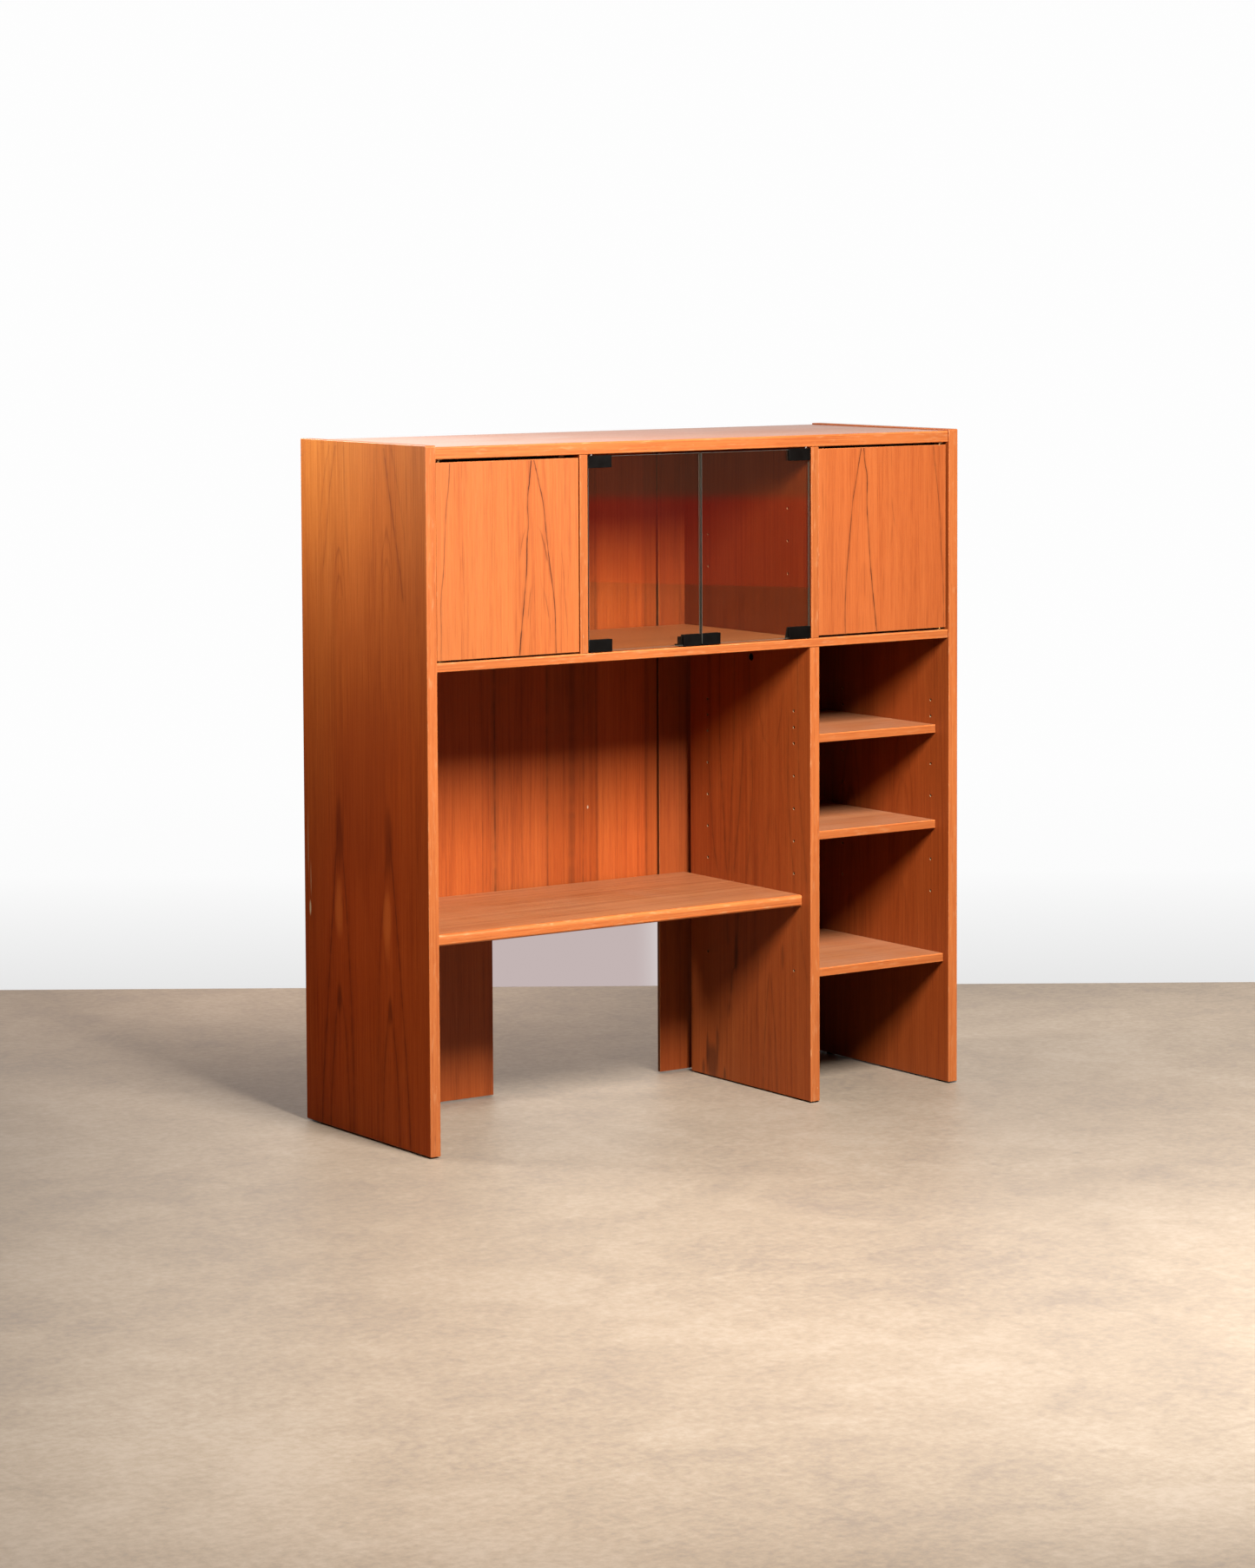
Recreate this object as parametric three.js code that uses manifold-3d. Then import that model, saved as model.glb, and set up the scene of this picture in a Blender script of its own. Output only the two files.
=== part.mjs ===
// Secretary desk: a full-height teak-veneered wall unit with three cupboards on top, an open desk bay at the
// lower left and an open shelf bay at the lower right. Millimetres, +Z up, the front faces -Y.
// The cabinet is laid out in its own coordinates: x from the left outer face, y from the front edge of the side
// panels towards the wall, z from the floor. The outer group moves the origin to the middle of the footprint.
import * as THREE from 'three';
import { mergeVertices } from 'three/addons/utils/BufferGeometryUtils.js';
import Module from 'manifold-3d';

const wasm = await Module();
wasm.setup();

// ---------------------------------------------------------------- driving dimensions
const WIDTH = 1242;             // over the side panels
const DEPTH = 448;              // front edge of the side panels to the rear face of the centre back board
const HEIGHT = 1310;            // floor to the top of the side panels
const GLIDE_H = 3;              // the glides hold the panels this far off the floor
const GAP = 0.3;                // clearance between pieces that touch

const SIDE_T = 22;              // side panels, lower divider, desk shelf
const INSET = 3;                // front edges of the inner panels sit this far behind the side panels
const TOP_Z = [1284, 1307];     // top panel, 3 mm below the top of the sides
const MID_Z = [895, 912];       // fixed shelf between desk bay and cupboards
const BOARD_FRONT = 427;        // front face of the outer back boards
const BOARD_T = 9;               // outer back boards; the centre one fills the rest of the depth
const BACK_X = [413, 816];      // inner edges of the two outer back boards
const BACK_LAP = 18;            // the centre back board laps behind them by this much
const BACK_TOP = 1283.7;         // under the top panel, which covers the boards' upper edges
const BACK_CENTRE_BOTTOM = 345; // open kneehole below

const DIV_X = [877.5, 899.8];   // lower divider
const DIV_REAR = 404;           // it stops short of the back boards
const UDIV_T = 18;
const UDIV_L = 339.5;           // left faces of the two upper dividers
const UDIV_R = 880.5;

const DESK_Z = [385, 407.5];
const DESK_FRONT = 31;
const SHELF_T = 17;
const SHELF_Z = [702, 510.5, 244.5]; // undersides of the bay shelves, top to bottom
const SHELF_FRONT = [41, 41, 16.5];
const SHELF_REAR = 408;
const SHELF_SIDE_GAP = 1;

const DOOR_T = 17;
const DOOR_FRONT = 5.5;
const DOOR_L = { x: [25.5, 338.5], z: [915.4, 1278.2] };
const DOOR_R = { x: [899.7, 1216.4], z: [916.2, 1279.4] };
const PIVOT_IN = 10;            // pivot axis inboard of the outer edge of a wooden door

const GLASS_T = 5;
const GLASS_FRONT = 4.5;
const GLASS_Z = [915, 1280];
const GLASS_L = [359.5, 617.3];
const GLASS_R = [619.8, 877.6];
const CLIP_W = 51.6;            // glass door clip: width, height, lip beyond the glass edge
const CLIP_H = 23.2;
const CLIP_WALL = 2.5;
const CLIP_LIP = 1.6;
const GLASS_PIVOT_IN = 8;
const STRIKE_W = 41.5;
const STRIKE_H = 22;

const PIN_D = 5;                // shelf pins
const PIN_HOLE_D = 5.6;
const PIN_IN = 8;
const PIN_OUT = 8;
const PIN_Y = [57.5, 345];      // front and rear hole columns
const PIN_ROWS = [254.5, 382.5, 446.5, 510.5, 574.5, 638.5, 702.5, 734.5, 766.5];
const UPPER_PIN_Y = [80, 345];
const UPPER_PIN_ROWS = [1034, 1098, 1162];
const HOLE_DEPTH = 10;

// ---------------------------------------------------------------- materials
const mat = (color, roughness, metalness = 0) => new THREE.MeshStandardMaterial({ color, roughness, metalness });
const M = {
  teak: mat(0xc4622c, 0.45),
  teakTop: mat(0xcf7a48, 0.5),
  board: mat(0xb4531f, 0.5),
  lipping: mat(0xe08040, 0.4),
  glass: new THREE.MeshStandardMaterial({ color: 0x8a7f78, roughness: 0.05, metalness: 0, transparent: true, opacity: 0.35 }),
  black: mat(0x16150f, 0.35),
  steel: mat(0xb9b6ae, 0.3, 1),
  brass: mat(0xb99a5a, 0.35, 1),
  plastic: mat(0xb99b7c, 0.5),
  felt: mat(0x3a332c, 0.7),
};

// ---------------------------------------------------------------- helpers
const toSolid = (geometry) => {
  const g = geometry.index ? geometry.toNonIndexed() : geometry.clone();
  g.deleteAttribute('normal');
  g.deleteAttribute('uv');
  const m = mergeVertices(g, 1e-4);
  return new wasm.Manifold(new wasm.Mesh({
    numProp: 3,
    vertProperties: new Float32Array(m.attributes.position.array),
    triVerts: new Uint32Array(m.index.array),
  }));
};
const toGeometry = (solid) => {
  const mesh = solid.getMesh();
  const g = new THREE.BufferGeometry();
  g.setAttribute('position', new THREE.BufferAttribute(new Float32Array(mesh.vertProperties), 3));
  g.setIndex(new THREE.BufferAttribute(new Uint32Array(mesh.triVerts), 1));
  g.computeVertexNormals();
  return g;
};
const box = (x0, x1, y0, y1, z0, z1) => {
  const g = new THREE.BoxGeometry(x1 - x0, y1 - y0, z1 - z0);
  g.translate((x0 + x1) / 2, (y0 + y1) / 2, (z0 + z1) / 2);
  return toSolid(g);
};
// a cylinder from point a along axis 'x', 'y' or 'z' for the signed length
const rod = (axis, a, length, diameter, sides = 8, endDiameter = diameter) => {
  const g = new THREE.CylinderGeometry(endDiameter / 2, diameter / 2, Math.abs(length), sides);
  g.rotateY(Math.PI / sides);
  if (axis === 'z') g.rotateX(Math.PI / 2);
  if (axis === 'x') g.rotateZ(-Math.PI / 2);
  const h = length / 2;
  if (length < 0) g.scale(axis === 'x' ? -1 : 1, axis === 'y' ? -1 : 1, axis === 'z' ? -1 : 1);
  if (length < 0) {
    const p = g.index.array;
    for (let i = 0; i < p.length; i += 3) { const t = p[i]; p[i] = p[i + 1]; p[i + 1] = t; }
  }
  g.translate(a[0] + (axis === 'x' ? h : 0), a[1] + (axis === 'y' ? h : 0), a[2] + (axis === 'z' ? h : 0));
  return toSolid(g);
};
// an outline in one plane, extruded along the third axis: plane 'yz' runs along x, 'xz' along y, 'xy' along z
const prism = (plane, points, from, to) => {
  const shape = new THREE.Shape(points.map(([u, v]) => new THREE.Vector2(u, v)));
  const g = new THREE.ExtrudeGeometry(shape, { depth: to - from, bevelEnabled: false, curveSegments: 6 });
  const p = g.attributes.position;
  for (let i = 0; i < p.count; i++) {
    const u = p.getX(i), v = p.getY(i), w = p.getZ(i) + from;
    if (plane === 'yz') p.setXYZ(i, w, u, v);
    if (plane === 'xz') p.setXYZ(i, u, w, v);
    if (plane === 'xy') p.setXYZ(i, u, v, w);
  }
  if (plane === 'xz') {
    const a = p.array;
    for (let i = 0; i < a.length; i += 9) for (let k = 0; k < 3; k++) { const t = a[i + k]; a[i + k] = a[i + 3 + k]; a[i + 3 + k] = t; }
  }
  return toSolid(g);
};
// the corners of a rectangle with rounded corners, radius r on the ones named in which (0 = low u low v, then round)
const roundRect = (u0, u1, v0, v1, radii, steps = 4) => {
  const pts = [];
  const c = [[u0, v0, Math.PI], [u1, v0, 1.5 * Math.PI], [u1, v1, 0], [u0, v1, 0.5 * Math.PI]];
  const inward = [[1, 1], [-1, 1], [-1, -1], [1, -1]];
  c.forEach(([u, v, a0], i) => {
    const r = radii[i];
    if (!r) { pts.push([u, v]); return; }
    const cu = u + inward[i][0] * r, cv = v + inward[i][1] * r;
    for (let k = 0; k <= steps; k++) {
      const a = a0 + (k / steps) * Math.PI / 2;
      pts.push([cu + r * Math.cos(a), cv + r * Math.sin(a)]);
    }
  });
  return pts;
};
const drill = (solid, axis, holes, diameter, depth, sides = 8) => {
  let s = solid;
  const tools = holes.map(([a, sign]) => {
    const start = [...a];
    const k = 'xyz'.indexOf(axis);
    start[k] -= sign * 1;               // begin 1 mm outside the face
    return rod(axis, start, sign * (depth + 1), diameter, sides);
  });
  for (const t of tools) s = s.subtract(t);
  return s;
};
const cabinet = new THREE.Group();
cabinet.position.set(-WIDTH / 2, -DEPTH / 2, 0);
const add = (name, solid, material) => {
  const m = new THREE.Mesh(toGeometry(solid), material);
  m.name = name;
  cabinet.add(m);
  return m;
};
const grid = (rows, ys, x, sign) => rows.flatMap((z) => ys.map((y) => [[x, y, z], sign]));

// ---------------------------------------------------------------- carcass
// side panels: softly rounded at the rear foot and at the top front corner
const side = (x0, x1) => prism('yz', roundRect(0, DEPTH, GLIDE_H, HEIGHT, [2, 8, 2, 4], 3), x0, x1);
const innerL = SIDE_T, innerR = WIDTH - SIDE_T;
let leftSide = side(0, SIDE_T);
leftSide = drill(leftSide, 'x', grid(PIN_ROWS, PIN_Y, innerL, -1), PIN_HOLE_D, HOLE_DEPTH);
let rightSide = side(innerR, WIDTH);
rightSide = drill(rightSide, 'x', grid(PIN_ROWS, PIN_Y, innerR, 1), PIN_HOLE_D, HOLE_DEPTH);
add('left_side_panel', leftSide, M.teak);
add('right_side_panel', rightSide, M.teak);

const pivots = {
  left: { x: DOOR_L.x[0] + PIVOT_IN, y: DOOR_FRONT + DOOR_T / 2 },
  right: { x: DOOR_R.x[1] - PIVOT_IN, y: DOOR_FRONT + DOOR_T / 2 },
};
const glassPivots = {
  left: { x: GLASS_L[0] + GLASS_PIVOT_IN, y: GLASS_FRONT + GLASS_T / 2 },
  right: { x: GLASS_R[1] - GLASS_PIVOT_IN, y: GLASS_FRONT + GLASS_T / 2 },
};
const BUSH_D = 9, PIVOT_PIN_D = 5, GLASS_PIN_D = 5;

// an inner panel between the sides, front edge rounded over
const innerPanel = (z0, z1, y0, y1, r = 3) =>
  prism('yz', roundRect(y0, y1, z0, z1, [r, 0, 0, r], 3), innerL + GAP, innerR - GAP);
let top = innerPanel(TOP_Z[0], TOP_Z[1], INSET, DEPTH, 3);
let mid = innerPanel(MID_Z[0], MID_Z[1], INSET, BOARD_FRONT - GAP, 2.5);
for (const p of [pivots.left, pivots.right]) {
  top = drill(top, 'z', [[[p.x, p.y, TOP_Z[0]], 1]], BUSH_D + 0.6, 9, 12);
  mid = drill(mid, 'z', [[[p.x, p.y, MID_Z[1]], -1]], BUSH_D + 0.6, 9, 12);
}
for (const p of [glassPivots.left, glassPivots.right]) {
  top = drill(top, 'z', [[[p.x, p.y, TOP_Z[0]], 1]], GLASS_PIN_D + 0.8, 9, 12);
  mid = drill(mid, 'z', [[[p.x, p.y, MID_Z[1]], -1]], GLASS_PIN_D + 0.8, 9, 12);
}
add('top_panel', top, M.teakTop);
add('mid_panel', mid, M.teakTop);

// lower divider, with pin holes on both faces and the round pocket of a cam fitting high on its left face
const CAM = { y: 197, z: 862, d: 15, depth: 12.5 };
let divider = prism('xy', roundRect(DIV_X[0], DIV_X[1], INSET, DIV_REAR, [2.5, 2.5, 0, 0], 3), GLIDE_H, MID_Z[0] - GAP);
divider = drill(divider, 'x', grid(PIN_ROWS, PIN_Y, DIV_X[0], 1), PIN_HOLE_D, HOLE_DEPTH);
divider = drill(divider, 'x', grid([510.5, 702.5], PIN_Y, DIV_X[1], -1), PIN_HOLE_D, HOLE_DEPTH);
divider = drill(divider, 'x', [[[DIV_X[0], CAM.y, CAM.z], 1]], CAM.d + 0.6, CAM.depth + GAP, 16);
divider = divider.subtract(rod('z', [DIV_X[0] + 11, CAM.y, CAM.z + 4], MID_Z[0] - CAM.z, 8, 8));
add('lower_divider', divider, M.teak);

const upperDivider = (x0) => prism('xy', roundRect(x0, x0 + UDIV_T, INSET, BOARD_FRONT - GAP, [2, 2, 0, 0], 3),
  MID_Z[1] + GAP, TOP_Z[0] - GAP);
add('upper_divider_left',
  drill(upperDivider(UDIV_L), 'x', grid(UPPER_PIN_ROWS, UPPER_PIN_Y, UDIV_L + UDIV_T, -1), PIN_HOLE_D, HOLE_DEPTH), M.teak);
add('upper_divider_right',
  drill(upperDivider(UDIV_R), 'x', grid(UPPER_PIN_ROWS, UPPER_PIN_Y, UDIV_R, 1), PIN_HOLE_D, HOLE_DEPTH), M.teak);

// back boards: two narrow ones down to the floor, a wide one lapped behind them above the kneehole
add('back_board_left', box(innerL + GAP, BACK_X[0], BOARD_FRONT, BOARD_FRONT + BOARD_T, GLIDE_H, BACK_TOP), M.board);
add('back_board_right', box(BACK_X[1], innerR - GAP, BOARD_FRONT, BOARD_FRONT + BOARD_T, GLIDE_H, BACK_TOP), M.board);
add('back_board_centre', box(BACK_X[0] - BACK_LAP, BACK_X[1] + BACK_LAP, BOARD_FRONT + BOARD_T + GAP, DEPTH,
  BACK_CENTRE_BOTTOM, BACK_TOP), M.board);

// ---------------------------------------------------------------- shelves
add('desk_shelf', prism('yz', roundRect(DESK_FRONT, BOARD_FRONT - GAP, DESK_Z[0], DESK_Z[1], [7, 0, 0, 7], 5),
  innerL + 0.5, DIV_X[0] - 0.5), M.teakTop);
['bay_shelf_upper', 'bay_shelf_middle', 'bay_shelf_lower'].forEach((name, i) => {
  add(name, prism('yz', roundRect(SHELF_FRONT[i], SHELF_REAR, SHELF_Z[i], SHELF_Z[i] + SHELF_T, [2, 0, 0, 2], 3),
    DIV_X[1] + SHELF_SIDE_GAP, innerR - SHELF_SIDE_GAP), M.teakTop);
});
// four pins under each loose shelf: a round shank in the panel and a tongue, flat on top, under the shelf
const pin = (name, face, sign, y, zHole, zTop) => {
  const shank = rod('x', [face - sign * PIN_IN, y, zHole], sign * (PIN_IN + PIN_OUT), PIN_D, 8);
  const cut = box(Math.min(face + sign * 0.2, face + sign * 40), Math.max(face + sign * 0.2, face + sign * 40),
    y - 10, y + 10, zTop - GAP, zTop + 20);
  add(name, shank.subtract(cut), M.steel);
};
const pins = (shelf, faceL, faceR, zHole, zTop) => {
  pin(`${shelf}_pin_left_front`, faceL, 1, PIN_Y[0], zHole, zTop);
  pin(`${shelf}_pin_left_rear`, faceL, 1, PIN_Y[1], zHole, zTop);
  pin(`${shelf}_pin_right_front`, faceR, -1, PIN_Y[0], zHole, zTop);
  pin(`${shelf}_pin_right_rear`, faceR, -1, PIN_Y[1], zHole, zTop);
};
pins('desk', innerL, DIV_X[0], 382.5, DESK_Z[0]);
pins('upper', DIV_X[1], innerR, 702.5, SHELF_Z[0]);
pins('middle', DIV_X[1], innerR, 510.5, SHELF_Z[1]);

// ---------------------------------------------------------------- wooden doors on pivots
const PLATE = { len: 40, w: 11, t: 2 };
const woodDoor = (name, d, side) => {
  const p = pivots[side];
  const s = side === 'left' ? 1 : -1;               // from the pivot towards the free edge
  let door = prism('xy', roundRect(d.x[0], d.x[1], DOOR_FRONT, DOOR_FRONT + DOOR_T, [1.2, 1.2, 1.2, 1.2], 2), d.z[0], d.z[1]);
  const x0 = Math.min(p.x - s * 6, p.x + s * (PLATE.len - 6)), x1 = Math.max(p.x - s * 6, p.x + s * (PLATE.len - 6));
  const y0 = p.y - PLATE.w / 2, y1 = p.y + PLATE.w / 2;
  const pocket = (za, zb) => box(x0 - GAP, x1 + GAP, y0 - GAP, y1 + GAP, za, zb);
  door = door.subtract(pocket(d.z[1] - PLATE.t - GAP, d.z[1] + 5)).subtract(pocket(d.z[0] - 5, d.z[0] + PLATE.t + GAP));
  add(name, door, M.teak);
  // a plate let into each end of the door carries the pivot pin; two screw holes
  const plate = (za, zb) => {
    let q = box(x0, x1, y0, y1, za, zb);
    for (const k of [10, 26]) q = q.subtract(rod('z', [p.x + s * k, p.y, za - 1], PLATE.t + 2, 3.6, 8));
    return q;
  };
  add(`${name}_pivot_upper`, plate(d.z[1] - PLATE.t, d.z[1]).add(rod('z', [p.x, p.y, d.z[1] - 1], TOP_Z[0] + 6.5 - d.z[1] + 1, PIVOT_PIN_D, 12)), M.brass);
  add(`${name}_pivot_lower`, plate(d.z[0], d.z[0] + PLATE.t).add(rod('z', [p.x, p.y, MID_Z[1] - 6.5], d.z[0] + 1 - MID_Z[1] + 6.5, PIVOT_PIN_D, 12)), M.brass);
  // flanged bushes in the panels above and below
  const bush = (z, up) => {
    const flangeT = 1;
    const body = rod('z', [p.x, p.y, z - up * (flangeT + GAP)], up * (8 + flangeT + GAP), BUSH_D, 12)
      .add(rod('z', [p.x, p.y, z - up * (flangeT + GAP)], up * flangeT, 15, 16));
    return body.subtract(rod('z', [p.x, p.y, z - up * (flangeT + GAP + 1)], up * (7 + flangeT + GAP + 1), PIVOT_PIN_D + 0.8, 12));
  };
  add(`${name}_bush_upper`, bush(TOP_Z[0], 1), M.brass);
  add(`${name}_bush_lower`, bush(MID_Z[1], -1), M.brass);
};
woodDoor('left_door', DOOR_L, 'left');
woodDoor('right_door', DOOR_R, 'right');

// touch latches under the top panel, near the free edge of each door
const latch = (name, x, doorTop) => {
  const z = doorTop - 9;
  const y0 = 27, len = 46, w = 13;
  let housing = box(x - w / 2, x + w / 2, y0, y0 + len, z - 6.5, TOP_Z[0] - GAP);
  housing = housing.subtract(rod('y', [x, y0 - 1, z], 37, 8.8, 12));
  add(`${name}_latch_housing`, housing, M.plastic);
  const tip = DOOR_FRONT + DOOR_T + GAP + 1 + 0.4;
  add(`${name}_latch_plunger`, rod('y', [x, tip + 2.5, z], 26, 8, 12).add(rod('y', [x, tip, z], 3, 5, 12, 8)), M.black);
  add(`${name}_latch_strike`, rod('y', [x, DOOR_FRONT + DOOR_T + GAP, z], 1, 14, 16), M.steel);
};
latch('left_door', DOOR_L.x[1] - 24, DOOR_L.z[1]);
latch('right_door', DOOR_R.x[0] + 24, DOOR_R.z[1]);

// ---------------------------------------------------------------- glass doors
const glass = (name, gx, side) => {
  add(name, prism('xz', roundRect(gx[0], gx[1], GLASS_Z[0], GLASS_Z[1], [1.5, 1.5, 1.5, 1.5], 2), GLASS_FRONT, GLASS_FRONT + GLASS_T), M.glass);
  const p = glassPivots[side];
  const s = side === 'left' ? 1 : -1;
  const xo = side === 'left' ? gx[0] : gx[1];
  const x0 = Math.min(xo, xo + s * CLIP_W), x1 = Math.max(xo, xo + s * CLIP_W);
  const yo0 = GLASS_FRONT - CLIP_WALL, yo1 = GLASS_FRONT + GLASS_T + CLIP_WALL;
  const channel = (xa, xb, up, h) => {
    const zEdge = up > 0 ? GLASS_Z[1] : GLASS_Z[0];
    const zOut = zEdge + up * CLIP_LIP, zIn = zOut - up * h;
    const outer = box(xa, xb, yo0, yo1, Math.min(zOut, zIn), Math.max(zOut, zIn));
    const slotA = zEdge + up * GAP, slotB = zIn - up * 2;
    return outer.subtract(box(xa - 2, xb + 2, GLASS_FRONT - GAP, GLASS_FRONT + GLASS_T + GAP, Math.min(slotA, slotB), Math.max(slotA, slotB)));
  };
  const up = channel(x0, x1, 1, CLIP_H).add(rod('z', [p.x, p.y, GLASS_Z[1] + CLIP_LIP - 0.8], TOP_Z[0] + 7 - GLASS_Z[1] - CLIP_LIP + 0.8, GLASS_PIN_D, 12));
  const low = channel(x0, x1, -1, CLIP_H).add(rod('z', [p.x, p.y, GLASS_Z[0] - CLIP_LIP + 0.8], -(GLASS_Z[0] - CLIP_LIP + 0.8 - MID_Z[1] + 7), GLASS_PIN_D, 12));
  add(`${name}_hinge_upper`, up, M.black);
  add(`${name}_hinge_lower`, low, M.black);
  const xi = side === 'left' ? gx[1] - 0.4 : gx[0] + 0.4;
  const a = Math.min(xi, xi - s * STRIKE_W), b = Math.max(xi, xi - s * STRIKE_W);
  add(`${name}_strike`, channel(a, b, -1, STRIKE_H), M.black);
};
glass('left_glass', GLASS_L, 'left');
glass('right_glass', GLASS_R, 'right');

// double magnetic catch on the fixed shelf, behind the two strikes: a base with two magnet blocks
{
  const c = (GLASS_L[1] + GLASS_R[0]) / 2;
  const y0 = GLASS_FRONT + GLASS_T + CLIP_WALL + 0.8;
  const z0 = MID_Z[1] + GAP;
  const base = box(c - 43, c + 43, y0 + 3, y0 + 20, z0, z0 + 4);
  const a = box(c - 43, c - 5, y0, y0 + 12, z0 + 1.5, z0 + 18.5);
  const b = box(c + 5, c + 43, y0, y0 + 12, z0 + 1.5, z0 + 18.5);
  add('glass_door_catch', base.add(a).add(b), M.black);
}

// ---------------------------------------------------------------- feet and fitting
const glide = (name, x, y) => add(name, rod('z', [x, y, 0], GLIDE_H - GAP, 16, 16, 18), M.felt);
glide('glide_left_front', SIDE_T / 2, 40);
glide('glide_left_rear', SIDE_T / 2, 400);
glide('glide_right_front', WIDTH - SIDE_T / 2, 40);
glide('glide_right_rear', WIDTH - SIDE_T / 2, 400);
glide('glide_divider', (DIV_X[0] + DIV_X[1]) / 2, 255);
// cam of the fitting that draws the divider up to the fixed shelf, with a slot for the driver
{
  let cam = rod('x', [DIV_X[0] + 0.6, CAM.y, CAM.z], CAM.depth - 0.6, CAM.d, 16);
  cam = cam.subtract(box(DIV_X[0] - 1, DIV_X[0] + 3.5, CAM.y - 4.5, CAM.y + 4.5, CAM.z - 1.2, CAM.z + 1.2))
    .subtract(box(DIV_X[0] - 1, DIV_X[0] + 3.5, CAM.y - 1.2, CAM.y + 1.2, CAM.z - 4.5, CAM.z + 4.5));
  add('divider_cam', cam, M.black);
  add('divider_cam_bolt', rod('z', [DIV_X[0] + 11, CAM.y, CAM.z + CAM.d / 2 + GAP], MID_Z[0] - 2 * GAP - CAM.z - CAM.d / 2, 6, 8), M.steel);
}

const desk = new THREE.Group();
desk.add(cabinet);
export default desk;
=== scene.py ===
# Secretary desk: a teak-veneered wall unit with three cupboards on top, an open desk bay and a shelf bay.
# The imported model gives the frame; this script dresses it with finished pieces and procedural materials.
import bpy, bmesh, math
from mathutils import Vector, Matrix


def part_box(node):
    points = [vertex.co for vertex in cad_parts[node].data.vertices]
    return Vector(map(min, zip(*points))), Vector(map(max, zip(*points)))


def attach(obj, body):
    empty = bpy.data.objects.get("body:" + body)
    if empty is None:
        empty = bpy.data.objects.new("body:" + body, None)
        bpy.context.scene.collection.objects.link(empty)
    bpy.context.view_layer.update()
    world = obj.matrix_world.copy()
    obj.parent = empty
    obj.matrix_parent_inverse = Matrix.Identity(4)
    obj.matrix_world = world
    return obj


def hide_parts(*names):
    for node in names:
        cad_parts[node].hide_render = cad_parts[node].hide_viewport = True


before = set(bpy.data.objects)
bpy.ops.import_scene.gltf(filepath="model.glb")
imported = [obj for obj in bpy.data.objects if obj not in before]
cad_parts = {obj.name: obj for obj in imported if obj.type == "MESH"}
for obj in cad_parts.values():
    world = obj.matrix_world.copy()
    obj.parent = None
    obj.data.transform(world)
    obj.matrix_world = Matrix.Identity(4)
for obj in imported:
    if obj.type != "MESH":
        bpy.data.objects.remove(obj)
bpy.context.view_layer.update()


def MM(x, y, z):
    """cabinet millimetres (from the left outer face, the front edge, the floor) to the row frame in metres"""
    return Vector(((x - 621.0) / 1000.0, (y - 224.0) / 1000.0, z / 1000.0))


# ------------------------------------------------------------------------------------------------ camera
def camera():
    a, p, r = math.radians(34.797), math.radians(3.9975), math.radians(-0.2466)
    look = Vector((math.sin(a) * math.cos(p), math.cos(a) * math.cos(p), -math.sin(p)))
    right = Vector((math.cos(a), -math.sin(a), 0.0))
    up = right.cross(look)
    cx = right * math.cos(r) + up * math.sin(r)
    cy = -right * math.sin(r) + up * math.cos(r)
    cam = bpy.data.cameras.new("camera")
    ob = bpy.data.objects.new("camera", cam)
    bpy.context.scene.collection.objects.link(ob)
    m = Matrix((cx, cy, -look)).transposed().to_4x4()
    m.translation = Vector((-4.6215, -6.6403, 1.6214))
    ob.matrix_world = m
    cam.sensor_fit = "VERTICAL"
    cam.sensor_height = 36.0
    cam.sensor_width = 36.0
    cam.lens = 95.70
    cam.shift_x = -0.00386
    cam.shift_y = -0.1403
    cam.dof.use_dof = False
    cam.clip_end = 100.0
    bpy.context.scene.camera = ob


camera()


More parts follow.
